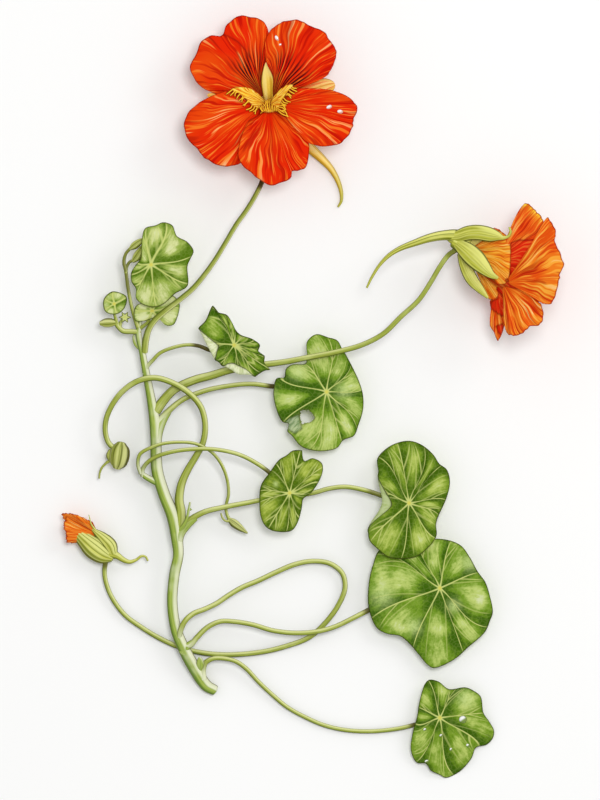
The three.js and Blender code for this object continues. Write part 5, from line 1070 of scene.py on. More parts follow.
def bristles(shape, base, tip, number, height, seed, radius):
    """Fringe hairs from curve to curve, lifted in their middle and swayed, with a wider dark one just below
    each as a painted shadow round it.
    """
    draw = np.random.default_rng(seed)
    share = np.linspace(0, 1, number) + draw.uniform(-0.3, 0.3, number) / number
    foot, end = (curve([(*p, 0) for p in line], share)[:, :2] for line in (base, tip))
    end = foot + (end - foot) * draw.uniform(0.7, 1.15, (number, 1))
    bend = draw.uniform(-0.3, 0.3, (number, 1)) * (end - foot)[:, ::-1] * (1, -1)
    for places in zip(foot, (foot + end) / 2 + bend, end):
        # the second copy, wider and lower, is the painted shadow (hair 0.5)
        for wide, low, kind in ((1.0, 0.0, 1.0), (1.7, 0.25, 0.5)):
            rows = zip(places, (-0.2, 0.35, 0.0), (1, 1, 0.8))
            route = [(x, y, height(x, y) + rise - low, radius * wide * thick) for (x, y), rise, thick in rows]
            shape.tube(route, 8, 8, lambda values: {"hair": kind}, flat=0.7)


# ---------------------------------------------------------------- finishes


class Level:
    """A value or colour that changes over a surface, as a node puts it out. Sums with it make Math nodes."""

    def __init__(self, nodes, socket):
        self.nodes, self.socket = nodes, socket

    def math(self, operation, *others):
        """This level and others through a Math node."""
        return self.nodes.add("Math", dict(enumerate((self, *others))), operation=operation)

    def step(self, low, high, start=0.0, end=1.0):
        """A smooth step from start to end, as this level goes from low to high."""
        inputs = {"Value": self, "From Min": low, "From Max": high, "To Min": start, "To Max": end}
        return self.nodes.add("MapRange", inputs, interpolation_type="SMOOTHSTEP")

    def __add__(self, other):
        return self.math("ADD", other)

    def __sub__(self, other):
        return self.math("SUBTRACT", other)

    def __rsub__(self, other):
        return self.nodes.add("Math", {0: other, 1: self}, operation="SUBTRACT")

    def __mul__(self, other):
        return self.math("MULTIPLY", other)

    def __truediv__(self, other):
        return self.math("DIVIDE", other)

    def __abs__(self):
        return self.math("ABSOLUTE")


class Nodes:
    """Adds nodes to one tree."""

    def __init__(self, tree):
        self.tree = tree

    def fill(self, sockets, inputs):
        """Joins levels to sockets, or sets the sockets' own values."""
        for key, value in inputs.items():
            if isinstance(value, Level):
                self.tree.links.new(value.socket, sockets[key])
            else:
                sockets[key].default_value = (*value, 1.0) if sockets[key].type == "RGBA" else value

    def add(self, kind, inputs, output=0, **settings):
        """A node of a kind, with its settings and its inputs by name or number; gives one of its outputs."""
        node = self.tree.nodes.new("ShaderNode" + kind)
        for key, value in settings.items():
            setattr(node, key, value)
        self.fill(node.inputs, inputs)
        return Level(self, node.outputs[output])

    def values(self, *names):
        """Values kept on the mesh."""
        return [self.add("Attribute", {}, "Fac", attribute_name=name) for name in names]

    def position(self):
        """Object coordinates in millimetres."""
        metres = self.add("TexCoord", {}, "Object")
        return self.add("VectorMath", {0: metres, "Scale": 1 / MM}, operation="SCALE")

    def cloud(self, where, scale, detail=2.0, rough=0.5):
        """Noise from 0 to 1 at a level, or at a place given by three values."""
        if isinstance(where, tuple):
            where = self.add("CombineXYZ", dict(enumerate(where)))
        inputs = {"Vector": where, "Scale": scale, "Detail": detail, "Roughness": rough}
        return self.add("TexNoise", inputs, "Fac")

    def coats(self, shade, *layers):
        """A colour under coats of (strength, colour), laid on in turn. A tuple is a colour as on screen."""
        for strength, coat in layers:
            below, above = (srgb(*c) if isinstance(c, tuple) else c for c in (shade, coat))
            shade = self.add("Mix", {0: strength, 6: below, 7: above}, 2, data_type="RGBA")
        return shade


def leaf_surface(nodes, given):
    """Blade colour and veins of a leaf, with painted light on its puffs and painted shade along its veins and
    near its centre.
    """
    gap, out, reach, middle, phase, rim = nodes.values("gap", "out", "reach", "middle", "phase", "rim")
    tone, olive, bloom, torn = nodes.values("tone", "olive", "bloom", "torn")
    upper, turned, fold, hole = nodes.values("upper", "turned", "fold", "hole")
    where = nodes.position()
    # main veins taper outward; forks leave some of them past the middle of their length, faint ones further in
    width = given["Vein Width"] * (out * -0.3 + 0.8)
    main = gap.step(width, width * 0.4) * out.step(1.0, 0.86, 0.3, 1.0)
    forks = []
    for inward, slope, wide, strong, rare in ((0.0, 0.42, 0.95, 0.75, 0.4), (0.27, 0.3, 0.8, 0.45, 0.2)):
        from_fork = 1.0 - (phase * 0.22 + (0.42 - inward)) / out.math("MAXIMUM", 0.05)
        fork = abs(gap - reach * from_fork * slope).step(width * wide, width * 0.3, 0.0, strong)
        fork = fork * from_fork.step(0.0, 0.03 + inward / 2) * out.step(1.0, 0.85)
        forks.append(fork * phase.step(rare, rare + 0.02))
    branch = forks[0].math("MAXIMUM", forks[1])
    net = nodes.add("TexVoronoi", {"Vector": where, "Scale": 0.7}, "Distance", feature="DISTANCE_TO_EDGE")
    net = net.step(0.14, 0.0)
    # painted light and shade: lighter where the blade puffs up between its veins, darker near its centre and
    # along one side of each vein, varied by random clouds and each leaf's tone
    patch, grain = nodes.cloud(where, 0.14), nodes.cloud(where, 1.4, 3.0, 0.65)
    fibre = nodes.cloud((middle * 2.6, reach * 0.12, phase), 2.8, 3.0, 0.65)
    puff = middle.step(0.0, 0.9) * out.step(0.18, 0.62) * out.step(1.02, 0.78, 0.45, 1.0)
    light = puff * 0.7 + tone + (phase - 0.5) * (1.0 - middle) * 0.9 + out.step(0.0, 0.4) * 0.25
    light = light + patch * 1.5 + fibre * 0.85 + grain * 0.4 - 2.02
    # the painted light and shade pick between the deep, blade and puffed colours and shade the olive tint
    shade = nodes.coats(
        given["Deep"],
        (light.step(-0.5, 0.06), given["Blade"]),
        (light.step(0.0, 0.5), given["Puffed"]),
        (olive * 0.7, nodes.coats((76, 102, 2), (light.step(-0.35, 0.45), (170, 182, 62)))),
        # painted highlight, whitish, on the lightest parts
        (light.step(0.42, 0.85, 0.0, 0.75), (218, 224, 180)),
        # painted highlight patches
        (bloom * grain.step(0.3, 0.6, 0.35, 0.75), (198, 216, 138)),
        (torn * 0.85, nodes.coats((122, 146, 104), (fibre.step(0.42, 0.58), (176, 190, 150)))),
        (net * 0.08, given["Vein"]),
        (branch * 0.8, given["Vein"]),
        (main * 0.92, given["Vein"]),
        (reach.step(0.9, 0.3) * out.step(0.22, 0.08, 0.0, 0.8), (214, 204, 84)),
        ((1.0 - upper) * 0.85, nodes.coats((176, 190, 120), (main * 0.5, given["Vein"]))),
        (turned * 0.95, nodes.coats((196, 206, 148), (fibre.step(0.4, 0.6), (228, 232, 194)),
                                    (olive.step(0.3, 0.6, 0.0, 0.8), (140, 164, 84)))),
        # dark line along folds, painted shade in the crease, and along the withered patch's edge
        (fold * 0.75, (60, 70, 18)),
        (rim.step(0.5, 0.14, 0.0, 0.8), (58, 62, 16)),
        (hole * 0.7, (96, 104, 50)),
    )
    return shade, patch.step(0.3, 0.7, 0.7, 0.55), (main + branch) * 0.5 + net * -0.2


def petal_surface(nodes, given):
    """Streaks with a painted highlight along the ridges, painted glints, painted shade in the furrows, guide
    lines, claw and dark edge of a petal, and its fringe.
    """
    across, out, reach, rim, turn = nodes.values("across", "out", "reach", "rim", "turn")
    fold, inner, guides, claw = nodes.values("fold", "inner", "guides", "claw")
    hair, flank = nodes.values("hair", "flank")
    lane = across + (nodes.cloud((across * 3.0, out * 2.2, turn), 1.0, 1.0) * 0.14 - 0.07)

    def streaks(wide, long, shift, detail=1.0):
        return nodes.cloud((lane * wide, out * long, turn + shift), 1.0, detail)

    fine, patch, crack = streaks(56.0, 1.8, 9.0, 2.0), streaks(4.5, 1.6, 30.0), streaks(26.0, 1.1, 44.0)
    # ridge is also the relief's height: the lighter streaks along it are the petals' own streaks with a painted
    # highlight on the ridges, glints are painted highlights, and darker furrows are painted shade, also on the
    # red inner face
    ridge = streaks(25.0, 1.2, 0.0) * 0.55 + fine * 0.45
    lit = ridge.step(given["Streak From"], given["Streak From"] + 0.06) * (1.0 - inner * 0.8)
    lit = lit * out.step(0.14, 0.4) * out.step(1.0, 0.78, 0.4, 0.9)
    outside = 1.0 - inner
    glint = ridge.step(0.59, 0.65) * out.step(0.3, 0.6) * outside
    thin = fine.step(0.56, 0.64) * out.step(0.2, 0.45, 0.0, 0.7) * outside
    # guide lines run into the throat
    line = (lane * 128.0).math("SINE") * 0.5 + (fine * 3.0 - 1.5)
    gilded = line.step(-0.15, -0.45) * reach.step(10.0, 6.0, 0.0, 0.6)
    deep = reach.step(9.5, 2.5, 0.0, 0.95) * line.step(-0.4, 0.15, 0.2, 1.0)
    yellow = nodes.coats(
        given["Claw"],
        (fine.step(0.51, 0.42, 0.0, 0.9), (214, 96, 14)),
        (fine.step(0.54, 0.64, 0.0, 0.7), (252, 226, 120)),
    )
    # a fringe hair's flanks are painted darker, as painted shade
    tongue = nodes.coats(given["Claw"], (abs(flank).step(0.5, 0.85), (164, 26, 4)))
    shade = nodes.coats(
        given["Limb"],
        (patch.step(0.42, 0.66, 0.0, 0.75), given["Warm"]),
        (inner, nodes.coats((220, 40, 12), (ridge.step(0.5, 0.6, 0.0, 0.6), (236, 92, 40)))),
        (ridge.step(0.47, 0.38) * given["Furrow Share"], given["Furrow"]),
        (lit, given["Streak"]),
        (glint * given["Glint"], (255, 224, 164)),
        (thin, given["Streak"]),
        (crack.step(0.42, 0.34, 0.0, 0.55), (164, 12, 0)),
        (gilded * guides, (206, 140, 30)),
        (line.step(-0.05, 0.22) * out.step(0.72, 0.42) * guides, given["Guide"]),
        (deep * guides, given["Guide"]),
        (claw, yellow),
        (rim.step(0.5, 0.14, 0.0, 0.8), (150, 12, 0)),
        # painted shade along creases and round the curled red patches
        (fold * 0.8, (140, 14, 4)),
        # fringe hairs, with the painted shadow of the dark copy below each
        (hair.step(0.1, 0.4), nodes.coats((150, 22, 2), (hair.step(0.6, 0.9), tongue))),
    )
    return shade, fine.step(0.3, 0.7, 0.75, 0.6), ridge


def stalk_surface(nodes, given):
    """Green skin of a stalk, bud or sepal: fine lengthwise lines, pale bloom, a painted highlight on its paler
    top side and painted shade on the other side and along both flanks, ribs with painted light and shade, brown
    ends.
    """
    along, flank, rib, lit, join = nodes.values("along", "flank", "rib", "lit", "join")
    flush, green, brown = nodes.values("flush", "green", "brown")
    lines = nodes.cloud((flank * 2.2, along * 0.05, 0.0), 2.0, 3.0, 0.6)
    patch = nodes.cloud(nodes.position(), 0.12)
    shade = nodes.coats(
        given["Skin"],
        (0.5, given["Deep"]),
        (lines.step(0.36, 0.62), given["Skin"]),
        (patch.step(0.5, 0.75, 0.0, 0.3), given["Bloom"]),
        # painted highlight on the side that faces the painted light, painted shade on the far side
        (lit.step(0.52, 0.8, 0.0, 0.8), given["Bloom"]),
        (lit.step(0.34, -0.2, 0.0, 0.9), given["Deep"]),
        # painted highlight on the ribs' ridges and painted shade in the furrows between them
        (rib.step(0.1, 0.95, 0.0, 0.5), given["Bloom"]),
        (rib.step(-0.55, -0.95, 0.0, 0.8), given["Deep"]),
        (flush * lines.step(0.49, 0.58, 0.0, 0.85), (226, 110, 34)),
        (green, (164, 172, 50)),
        # the node's pale bloom, painted stronger on the side that faces the painted light
        (join * lit.step(-0.1, 0.5, 0.2, 0.8), (232, 236, 206)),
        # painted shade darkening both flanks of the skin, weaker near a node
        (abs(flank).step(0.78, 0.97, 0.0, 0.85) * (join * -0.7 + 1.0), given["Outline"]),
        (brown, (66, 52, 16)),
    )
    return shade, lines.step(0.3, 0.7, 0.55, 0.42), lines


def group(name, surface, values):
    """A shader node group made once. It has an input for each value, and puts out what the surface gives."""
    if name in bpy.data.node_groups:
        return bpy.data.node_groups[name]
    tree = bpy.data.node_groups.new(name, "ShaderNodeTree")
    kinds = {label: "Float" if isinstance(value, float) else "Color" for label, value in values.items()}
    sockets = [(label, "INPUT", kind) for label, kind in kinds.items()]
    sockets += [("Color", "OUTPUT", "Color"), ("Roughness", "OUTPUT", "Float"), ("Height", "OUTPUT", "Float")]
    for label, way, kind in sockets:
        tree.interface.new_socket(label, in_out=way, socket_type="NodeSocket" + kind)
    nodes = Nodes(tree)
    given = tree.nodes.new("NodeGroupInput").outputs
    made = surface(nodes, {label: Level(nodes, given[label]) for label in values})
    nodes.fill(tree.nodes.new("NodeGroupOutput").inputs, dict(enumerate(made)))
    return tree


def make_material(name, shading):
    """A material made once. Its shader's inputs are what `shading` gives for its nodes."""
    if name not in bpy.data.materials:
        made = bpy.data.materials.new(name)
        made.use_nodes = True
        nodes = Nodes(made.node_tree)
        nodes.fill(made.node_tree.nodes["Principled BSDF"].inputs, shading(nodes))
    return bpy.data.materials[name]


RELIEF = 0.6  # strength of the fine relief on every finish


def finish(name, surface, values, bump, gloss):
    """A material whose colour, roughness and relief come from one of the surface groups."""

    def shading(nodes):
        label = surface.__name__.replace("_", " ").capitalize()
        look = nodes.add("Group", values, node_tree=group(label, surface, values)).socket.node
        shade, rough, height = (Level(nodes, output) for output in look.outputs)
        relief = nodes.add("Bump", {"Strength": RELIEF, "Distance": bump, "Height": height})
        return {"Base Color": shade, "Roughness": rough, "Normal": relief, "Specular IOR Level": gloss}

    return make_material(name, shading)


def leaf_finish(young):
    """Finish of a leaf blade, full grown or young."""
    colours, kind = chosen_colours(), "young" if young else "leaf"
    values = {
        "Deep": getattr(colours, kind + "_dark"), "Blade": getattr(colours, kind + "_middle"),
        "Puffed": getattr(colours, kind + "_light"), "Vein": colours.vein,
        "Vein Width": size("vein_width") / 2 * (YOUNG_VEINS if young else 1),
    }
    return finish("Young leaf" if young else "Leaf", leaf_surface, values, 0.0003, 0.05)


# Name, the start of its colours' names, its limb, where its streaks and their painted highlight start, and its
# shares of painted furrow shade and of painted glints.
PETAL_FINISHES = {
    "open": ("Open flower petal", "petal_", "petal", 0.57, 0.8, 0.45),
    "side": ("Side flower petal", "side_", "side_petal", 0.52, 0.95, 0.9),
}


def petal_finish(flower):
    """Finish of the petals of one flower."""
    label, kind, limb, streak_from, furrows, glint = PETAL_FINISHES[flower]
    colours = chosen_colours()
    values = {
        "Limb": getattr(colours, limb), "Warm": getattr(colours, kind + "warm"),
        "Streak": getattr(colours, kind + "streak"), "Furrow": getattr(colours, kind + "furrow"),
        "Claw": colours.claw, "Guide": colours.guide,
        "Streak From": streak_from, "Furrow Share": furrows, "Glint": glint,
    }
    return finish(label, petal_surface, values, 0.0004, 0.04)


# Name, colour, deep colour that also serves as painted shade, colour of the bloom and of the painted highlight,
# and colour of the painted shade along the flanks of each skin.
STALK_FINISHES = {
    "stem": ("Main stem skin", "stem", (88, 124, 24), (242, 243, 214), (104, 96, 48)),
    "stalk": ("Stalk skin", "stalk", (92, 106, 14), (224, 228, 156), (80, 74, 20)),
    "bud": ("Bud skin", "bud", (92, 100, 16), (218, 220, 148), (80, 72, 20)),
    "green_sepal": ("Green sepal skin", "green_sepal", (116, 126, 24), (226, 228, 140), (90, 88, 20)),
    "side_sepal": ("Side sepal skin", "side_sepal", (100, 108, 8), (230, 230, 132), (78, 80, 12)),
    "sepal": ("Yellow sepal skin", "sepal", (204, 156, 26), (254, 234, 150), (150, 118, 30)),
}


def stalk_finish(slot):
    """Finish of a stalk, bud or sepal by the name of its slot."""
    label, key, deep, bloom, outline = STALK_FINISHES[slot]
    # deep also paints shade, and outline is the colour of the painted shade along the skin's flanks
    values = {
        "Skin": getattr(chosen_colours(), key),
        "Deep": srgb(*deep), "Bloom": srgb(*bloom), "Outline": srgb(*outline),
    }
    return finish(label, stalk_surface, values, 0.0002, 0.12)


def settle(shape, node, skin):
    """Makes a shape the piece that stands for a solid."""
    made = shape.piece(node + "_fine", skin)
    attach(made, "root")
    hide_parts(node)


# ---------------------------------------------------------------- operators


class NASTURTIUM_OT_stem(bpy.types.Operator):
    """Main stem with its nodes, axil shoots and leaf scales"""

    bl_idname = "nasturtium.stem"
    bl_label = "Main stem"

    def execute(self, context):
        shape = Shape().tube(MAIN_STEM, 32, 260)
        for route in STEM_OUTGROWTHS:
            shape.tube(route, 16, 24)
        for route in LEAF_SCALES:
            shape.tube(route, 20, 24, flat=0.3, bend=-0.25)
        settle(shape, "main_stem", stalk_finish("stem"))
        return {"FINISHED"}


def where_under(points, along, name):
    """How far along a leaf stalk it goes under the margin of its blade."""
    row = LEAVES[name.replace("petiole", "leaf")]
    rim = [(x + row["centre"][0], y + row["centre"][1]) for x, y, *_ in row["rim"]]
    return along[~inside(points[:, 0], points[:, 1], rim)].max()


class NASTURTIUM_OT_stalks(bpy.types.Operator):
    """Leaf stalks, flower stalks and the two shoots at the tip"""

    bl_idname = "nasturtium.stalks"
    bl_label = "Stalks"

    def execute(self, context):
        skin = stalk_finish("stalk")
        for name, route in STALKS.items():
            shape = Shape()
            brown, start = BROWN_ENDS.get(name, (0.0, 1.0))
            for path in [route] + FORKS.get(name, []):
                points, faces, values = tube(path, 18, 10 * len(path))
                along = values["along"]
                reach = along.max() * start if start else where_under(points, along, name)
                values["brown"] = brown * smooth((along - reach + BROWN_BEFORE) / BROWN_BLEND)
                values["join"] = smooth(1 - along / JOIN_BLOOM) * (name in FROM_THE_STEM)
                if name == "open_flower_stalk":
                    values["brown"] = np.maximum(values["brown"], 0.12 * smooth(values["share"] * 1.6))
                    # painted light on one flank of this stalk and painted shade on the other
                    values["lit"] = 0.32 + 0.62 * values["flank"]
                shape.add(points, faces, values)
            settle(shape, name, skin)
        return {"FINISHED"}


class NASTURTIUM_OT_leaves(bpy.types.Operator):
    """Leaf blades with their veins, puffs, rolled margins and eaten hole"""

    bl_idname = "nasturtium.leaves"
    bl_label = "Leaves"

    def execute(self, context):
        for name, row in LEAVES.items():
            young = name in YOUNG_LEAVES
            blade = Shape().add(*leaf_blade(name, row, size("leaf_thickness")))
            settle(blade, name, leaf_finish(young))
        return {"FINISHED"}


class NASTURTIUM_OT_buds(bpy.types.Operator):
    """Closed buds and the young seed pod"""

    bl_idname = "nasturtium.buds"
    bl_label = "Buds and seed pod"

    def execute(self, context):
        skin = stalk_finish("bud")
        for name, route in BUDS.items():
            shape = Shape().tube(route, 40, 40, ribs=5, rib_depth=0.05)
            if name == "hanging_bud":
                shape.tube(HANGING_BUD_SPUR, 14, 24)
            settle(shape, name, skin)
        pod = Shape().tube(SEED_POD, 112, 60, ribs=7, rib_depth=0.06)
        pod.tube(SEED_POD_LOBE, 24, 20).tube(STYLE, 14, 40)
        settle(pod, "seed_pod", skin)
        return {"FINISHED"}


class NASTURTIUM_OT_opening_bud(bpy.types.Operator):
    """Opening bud: ribbed calyx, spur and folded petals"""

    bl_idname = "nasturtium.opening_bud"
    bl_label = "Opening bud"

    def execute(self, context):
        calyx = Shape()
        for route, ribs in OPENING_SEPALS:
            calyx.tube(route, 84, 50, ribs=ribs, rib_depth=0.05)
        calyx.tube(OPENING_SPUR, 18, 90)
        settle(calyx, "opening_bud_calyx", stalk_finish("green_sepal"))
        petals = Shape()
        for k, (apex, rim) in enumerate(OPENING_PETALS):
            petals.add(*fan(apex, rim, 0.1, 40 + k, columns=76, rows=34, pleats=3, pleat=0.25, frill=0.8,
                            claw=0.1))
        settle(petals, "opening_bud_petals", petal_finish("side"))
        return {"FINISHED"}


# The upper sepal stands up between the two upper petals, where it shows.
UPPER_SEPAL = [
    (-14.3, 96.6, 10.2, 1.2), (-14.4, 99.5, 13.4, 1.75), (-14.6, 103.6, 15.5, 2.15),
    (-14.85, 106.6, 16.4, 1.6), (-15, 109.2, 17, 0.75), (-15.05, 110.2, 17.1, 0.25),
]
BELOW_PETALS = 2.5  # how far the other sepals lie under the trumpet


def open_sepal(calyx, degrees, reach, half_width, blunt):
    """Adds a sepal under the open flower: a flat lance that follows the trumpet below the petals."""
    ahead = np.array([np.cos(np.radians(degrees)), np.sin(np.radians(degrees))])
    tip = ((0.8, 1), (0.9, 0.85), (0.97, 0.5), (1, 0.2)) if blunt else ((0.8, 0.85), (0.95, 0.4), (1, 0.16))
    route = [(*(THROAT + ahead * 2.8), 5.6, 0.7 * half_width)]
    for share, width in ((5 / reach, 0.85), (0.55, 1), *tip):
        x, y = THROAT + ahead * reach * share
        route.append((x, y, trumpet(x, y) - BELOW_PETALS, width * half_width))
    calyx.tube(route, 48, 76, lambda values: {"flush": blunt}, flat=0.3 / half_width + 0.05, ribs=9, bend=0.1)


class NASTURTIUM_OT_open_flower(bpy.types.Operator):
    """Open flower: calyx with its spur, five petals with claws and fringe, and stamens"""

    bl_idname = "nasturtium.open_flower"
    bl_label = "Open flower"

    def execute(self, context):
        calyx = Shape().tube(RECEPTACLE, 40, 20, up=(0, 1, 0))
        calyx.tube(OPEN_SPUR, 24, 120, lambda values: {"green": 0.8 * smooth((values["share"] - 0.45) / 0.5)},
                   ribs=4, rib_depth=0.04)
        for row in OPEN_SEPALS:
            open_sepal(calyx, *row)

        def on_upper_sepal(values):
            share = values["share"]
            # painted light that grows towards the sepal's tip, and ribs that fade out there
            return {"lit": 0.42 + 0.38 * share, "rib": values["rib"] * smooth((0.8 - share) / 0.4)}

        calyx.tube(UPPER_SEPAL, 40, 66, on_upper_sepal, flat=0.16, ribs=3, rib_depth=0.02)
        settle(calyx, "open_flower_calyx", stalk_finish("sepal"))
        hair = size("hair_width")
        for k, (name, row) in enumerate(OPEN_PETALS.items()):
            layer, tuck = PETAL_LAYER * row["layer"], row["tuck"]

            def lift(x, y, u, v):
                edge = tuck[0] * (1 - smooth(u / 0.22)) + tuck[1] * (1 - smooth((1 - u) / 0.22))
                return trumpet(x, y) + layer - edge * np.minimum(1, 1.6 * v) + 0.7 * v * np.sin(np.pi * u)

            limb = fan(row["apex"], row["rim"], 0.03, 60 + k, pleats=4.5, lift=lift, **row["look"])
            shape = Shape().add(*limb)
            if name in CLAWS:
                foot = CLAWS[name]

                def above(x, y, *_):
                    return trumpet(x, y) + layer + foot["raise"]

                shape.add(*fan(foot["apex"], foot["rim"], 0.02, 70 + k, columns=100, rows=40, pleats=9,
                               pleat=0.12, claw=1.0, frill=0.2, lift=above))
                bristles(shape, foot["base"], foot["tip"], foot["hairs"], above, 20 + k, hair / 2)
            elif name == "lower_middle":
                shape.add(*fan((-14.2, 98), MIDDLE_CLAW, 0.05, 75, columns=60, rows=30, pleats=6, pleat=0.1,
                               claw=1.0, frill=0.1, lift=lambda x, y, *_: trumpet(x, y) + MIDDLE_CLAW_RAISE))
                bristles(shape, *MIDDLE_TUFT, 12, lambda x, y: trumpet(x, y) + MIDDLE_TUFT_RAISE, 30,
                         hair * 0.42)
            settle(shape, "open_petal_" + name, petal_finish("open"))
        stamens = Shape()
        for k in range(6):
            turn = 2 * np.pi * k / 5
            foot = (0.0 if k == 5 else 0.8) * np.array([np.cos(turn), np.sin(turn)])
            tip = THROAT + 2.1 * foot
            route = [(*(THROAT + foot), 8.2, 0.3), (*tip, 9.2, 0.28), (*tip, 9.9, 0.5), (*tip, 10.4, 0.42)]
            stamens.tube(route, 12, 20, up=(0, 1, 0))
        settle(stamens, "open_flower_stamens", stalk_finish("sepal"))
        return {"FINISHED"}


class NASTURTIUM_OT_side_flower(bpy.types.Operator):
    """Side flower: ribbed calyx with its spur, five petals and stamens"""

    bl_idname = "nasturtium.side_flower"
    bl_label = "Side flower"

    def execute(self, context):
        calyx = Shape().tube(SIDE_RECEPTACLE, 40, 24).tube(SIDE_SPUR, 48, 110, ribs=7, rib_depth=0.03)

        def with_midrib(values):
            return {"rib": np.maximum(values["rib"] * 0.88, bell(values["flank"] / 0.07))}

        for flat, route in SIDE_SEPALS:
            calyx.tube(route, 76, 64, with_midrib, flat=flat, ribs=10, rib_depth=0.025, bend=-0.15)
        settle(calyx, "side_flower_calyx", stalk_finish("side_sepal"))

        def on_claw(values):
            return {"claw": 0.45, "across": 0.5 + values["flank"] / 20, "out": 0.4}

        for k, (name, row) in enumerate(SIDE_PETALS.items()):
            limb = fan(row["apex"], row["rim"], row["start"], 80 + k, pleats=5, pleat=0.4, arch=1,
                       **row["look"])
            shape = Shape().add(*limb)
            if "claw" in row:
                shape.tube(row["claw"], 20, 30, on_claw, flat=0.42)
            if "foot" in row:
                shape.add(*fan(*row["foot"], 0.14, 90 + k, columns=80, rows=50, pleats=5, pleat=0.12, arch=0.6,
                               claw=0.45, frill=0.05))
            if "lobe" in row:
                shape.add(*fan(*row["lobe"], 0.1, 95, columns=50, rows=24, pleats=2, pleat=0.1))
            settle(shape, "side_petal_" + name, petal_finish("side"))
        stamens = Shape()
        for k in range(3):
            dy, dz = np.cos(2 * np.pi * k / 3), np.sin(2 * np.pi * k / 3)
            route = [
                (53.2, 46.4, 18.3, 0.5), (57, 44 + dy * 0.5, 18.4 + dz * 0.5, 0.3),
                (62.4 + k % 2, 40.6 + dy * 1.1, 18.4 + dz * 1.1, 0.34),
            ]
            stamens.tube(route, 12, 24)
        settle(stamens, "side_flower_stamens", stalk_finish("sepal"))
        return {"FINISHED"}


# Dew drops: the piece that each lies on, its place, half length, half width and heading in degrees.
DEW = [
    ("open_petal_upper_right", -11.6, 118.1, 1.05, 0.55, -60),
    ("open_petal_upper_right", -10.5, 116, 0.45, 0.38, 0),
    ("open_petal_lower_right", 5.6, 95.4, 1, 0.65, 20), ("open_petal_lower_right", 9.2, 93.9, 1, 0.65, -10),
    ("leaf_i", 49.8, -106.6, 1.3, 1.25, 0), ("leaf_i", 37.3, -109.9, 0.55, 0.5, 0),
    ("leaf_i", 42.6, -111.9, 0.55, 0.5, 40), ("leaf_i", 45.9, -116.5, 0.55, 0.45, 90),
    ("leaf_i", 51.5, -115.2, 0.65, 0.5, -40), ("leaf_i", 37.9, -120.4, 0.7, 0.45, 10),
]
DROP_RINGS, DROP_SIDES = 13, 32
DROP_SEAT = 0.8  # radius within which the highest point of the piece carries a drop
DROP_SINK = 0.12  # how far it sinks in there
BRIGHT_SIDE = 2.2  # bearing of a drop's painted highlight, in radians
# What the drops lie on, the colour of their side in painted shade, the colour of their dark rim of painted
# shade, and how far the painted shade reaches.
DEW_FINISHES = (
    ("open_petal", (222, 168, 148), (120, 24, 6), -0.6),
    ("leaf", (120, 144, 60), (60, 76, 20), -0.3),
)


def dew_drop(over, x, y, long, wide, heading):
    """A drop on a piece: height over its resting ellipse is the square root of 1 - r squared, flat below."""
    mesh = bpy.data.objects[over + "_fine"].data
    corners = np.empty(len(mesh.vertices) * 3)
    mesh.vertices.foreach_get("co", corners)
    corners = corners.reshape(-1, 3) / MM
    ground = corners[np.hypot(corners[:, 0] - x, corners[:, 1] - y) < DROP_SEAT, 2].max() - DROP_SINK
    around = np.linspace(0, 2 * np.pi, DROP_SIDES, endpoint=False)
    share, around = np.meshgrid(np.linspace(0, 1, DROP_RINGS), around, indexing="ij")
    turn = np.radians(heading)
    a, b = share * np.cos(around) * long, share * np.sin(around) * wide
    high = size("drop_height") * 2 * wide * np.sqrt(1 - share**2)
    east, north = x + a * np.cos(turn) - b * np.sin(turn), y + a * np.sin(turn) + b * np.cos(turn)
    dome = np.dstack([east, north, ground + high])
    base = dome * (1, 1, 0) + (0, 0, ground - 0.1)
    # the first ring is one point, so only its last copy is used
    rings, sides = share.shape
    cells = np.maximum(quads(rings, sides, True) - sides + 1, 0)
    tip, rest = cells[:sides, 1:], cells[sides:]
    count = (rings - 1) * sides + 1
    outer = np.arange(count - sides, count)
    after = np.roll(outer, -1)
    wall = np.column_stack([after, after + count, outer + count, outer])
    # where the drop's painted highlight falls
    values = {"edge": share, "glance": share * np.cos(around - BRIGHT_SIDE + turn)}
    return (
        np.vstack([side.reshape(-1, 3)[sides - 1 :] for side in (dome, base)]),
        [tip[:, ::-1], rest[:, ::-1], tip + count, rest + count, wall],
        {key: np.tile(value.ravel()[sides - 1 :], 2) for key, value in values.items()},
    )


def dew_finish(kind, dim, dark, start):
    """Finish of the drops on one kind of piece: a painted highlight on one side, painted shade on the other,
    and a dark rim of painted shade.
    """

    def shading(nodes):
        glance, edge = nodes.values("glance", "edge")
        body = nodes.coats(dim, (glance.step(start, 0.4), (250, 250, 250)), (edge.step(0.84, 1.0), dark))
        return {"Base Color": body, "Roughness": 0.08}

    return make_material("Dew on " + kind, shading)


class NASTURTIUM_OT_dew(bpy.types.Operator):
    """Dew drops on the open flower and on the lowest leaf"""

    bl_idname = "nasturtium.dew"
    bl_label = "Dew drops"

    def execute(self, context):
        for kind, *look in DEW_FINISHES:
            shape = Shape()
            for over, *drop in DEW:
                if over.startswith(kind):
                    shape.add(*dew_drop(over, *drop))
            made = shape.piece(kind + "_dew", dew_finish(kind, *look))
            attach(made, "root")
        return {"FINISHED"}


# The stage, in metres.
FLOOR_HALF = 3.0
FLOOR_Z = -0.0001
# Name, place, width and share of the soft light's power of each lamp.
LAMPS = (("soft_light", (0.16, 0.22, 1.6), 0.45, 1.0), ("fill_light", (0.9, 0.6, 0.9), 0.6, 0.2))
SENSOR = 36  # width of the camera's sensor in millimetres
NEAR, FAR = 0.1, 50
VIEW_CENTRE, VIEW_LEVEL = (-0.004, -0.001), 0.010
VIEW_HEIGHT = 0.264  # height of the view at that level


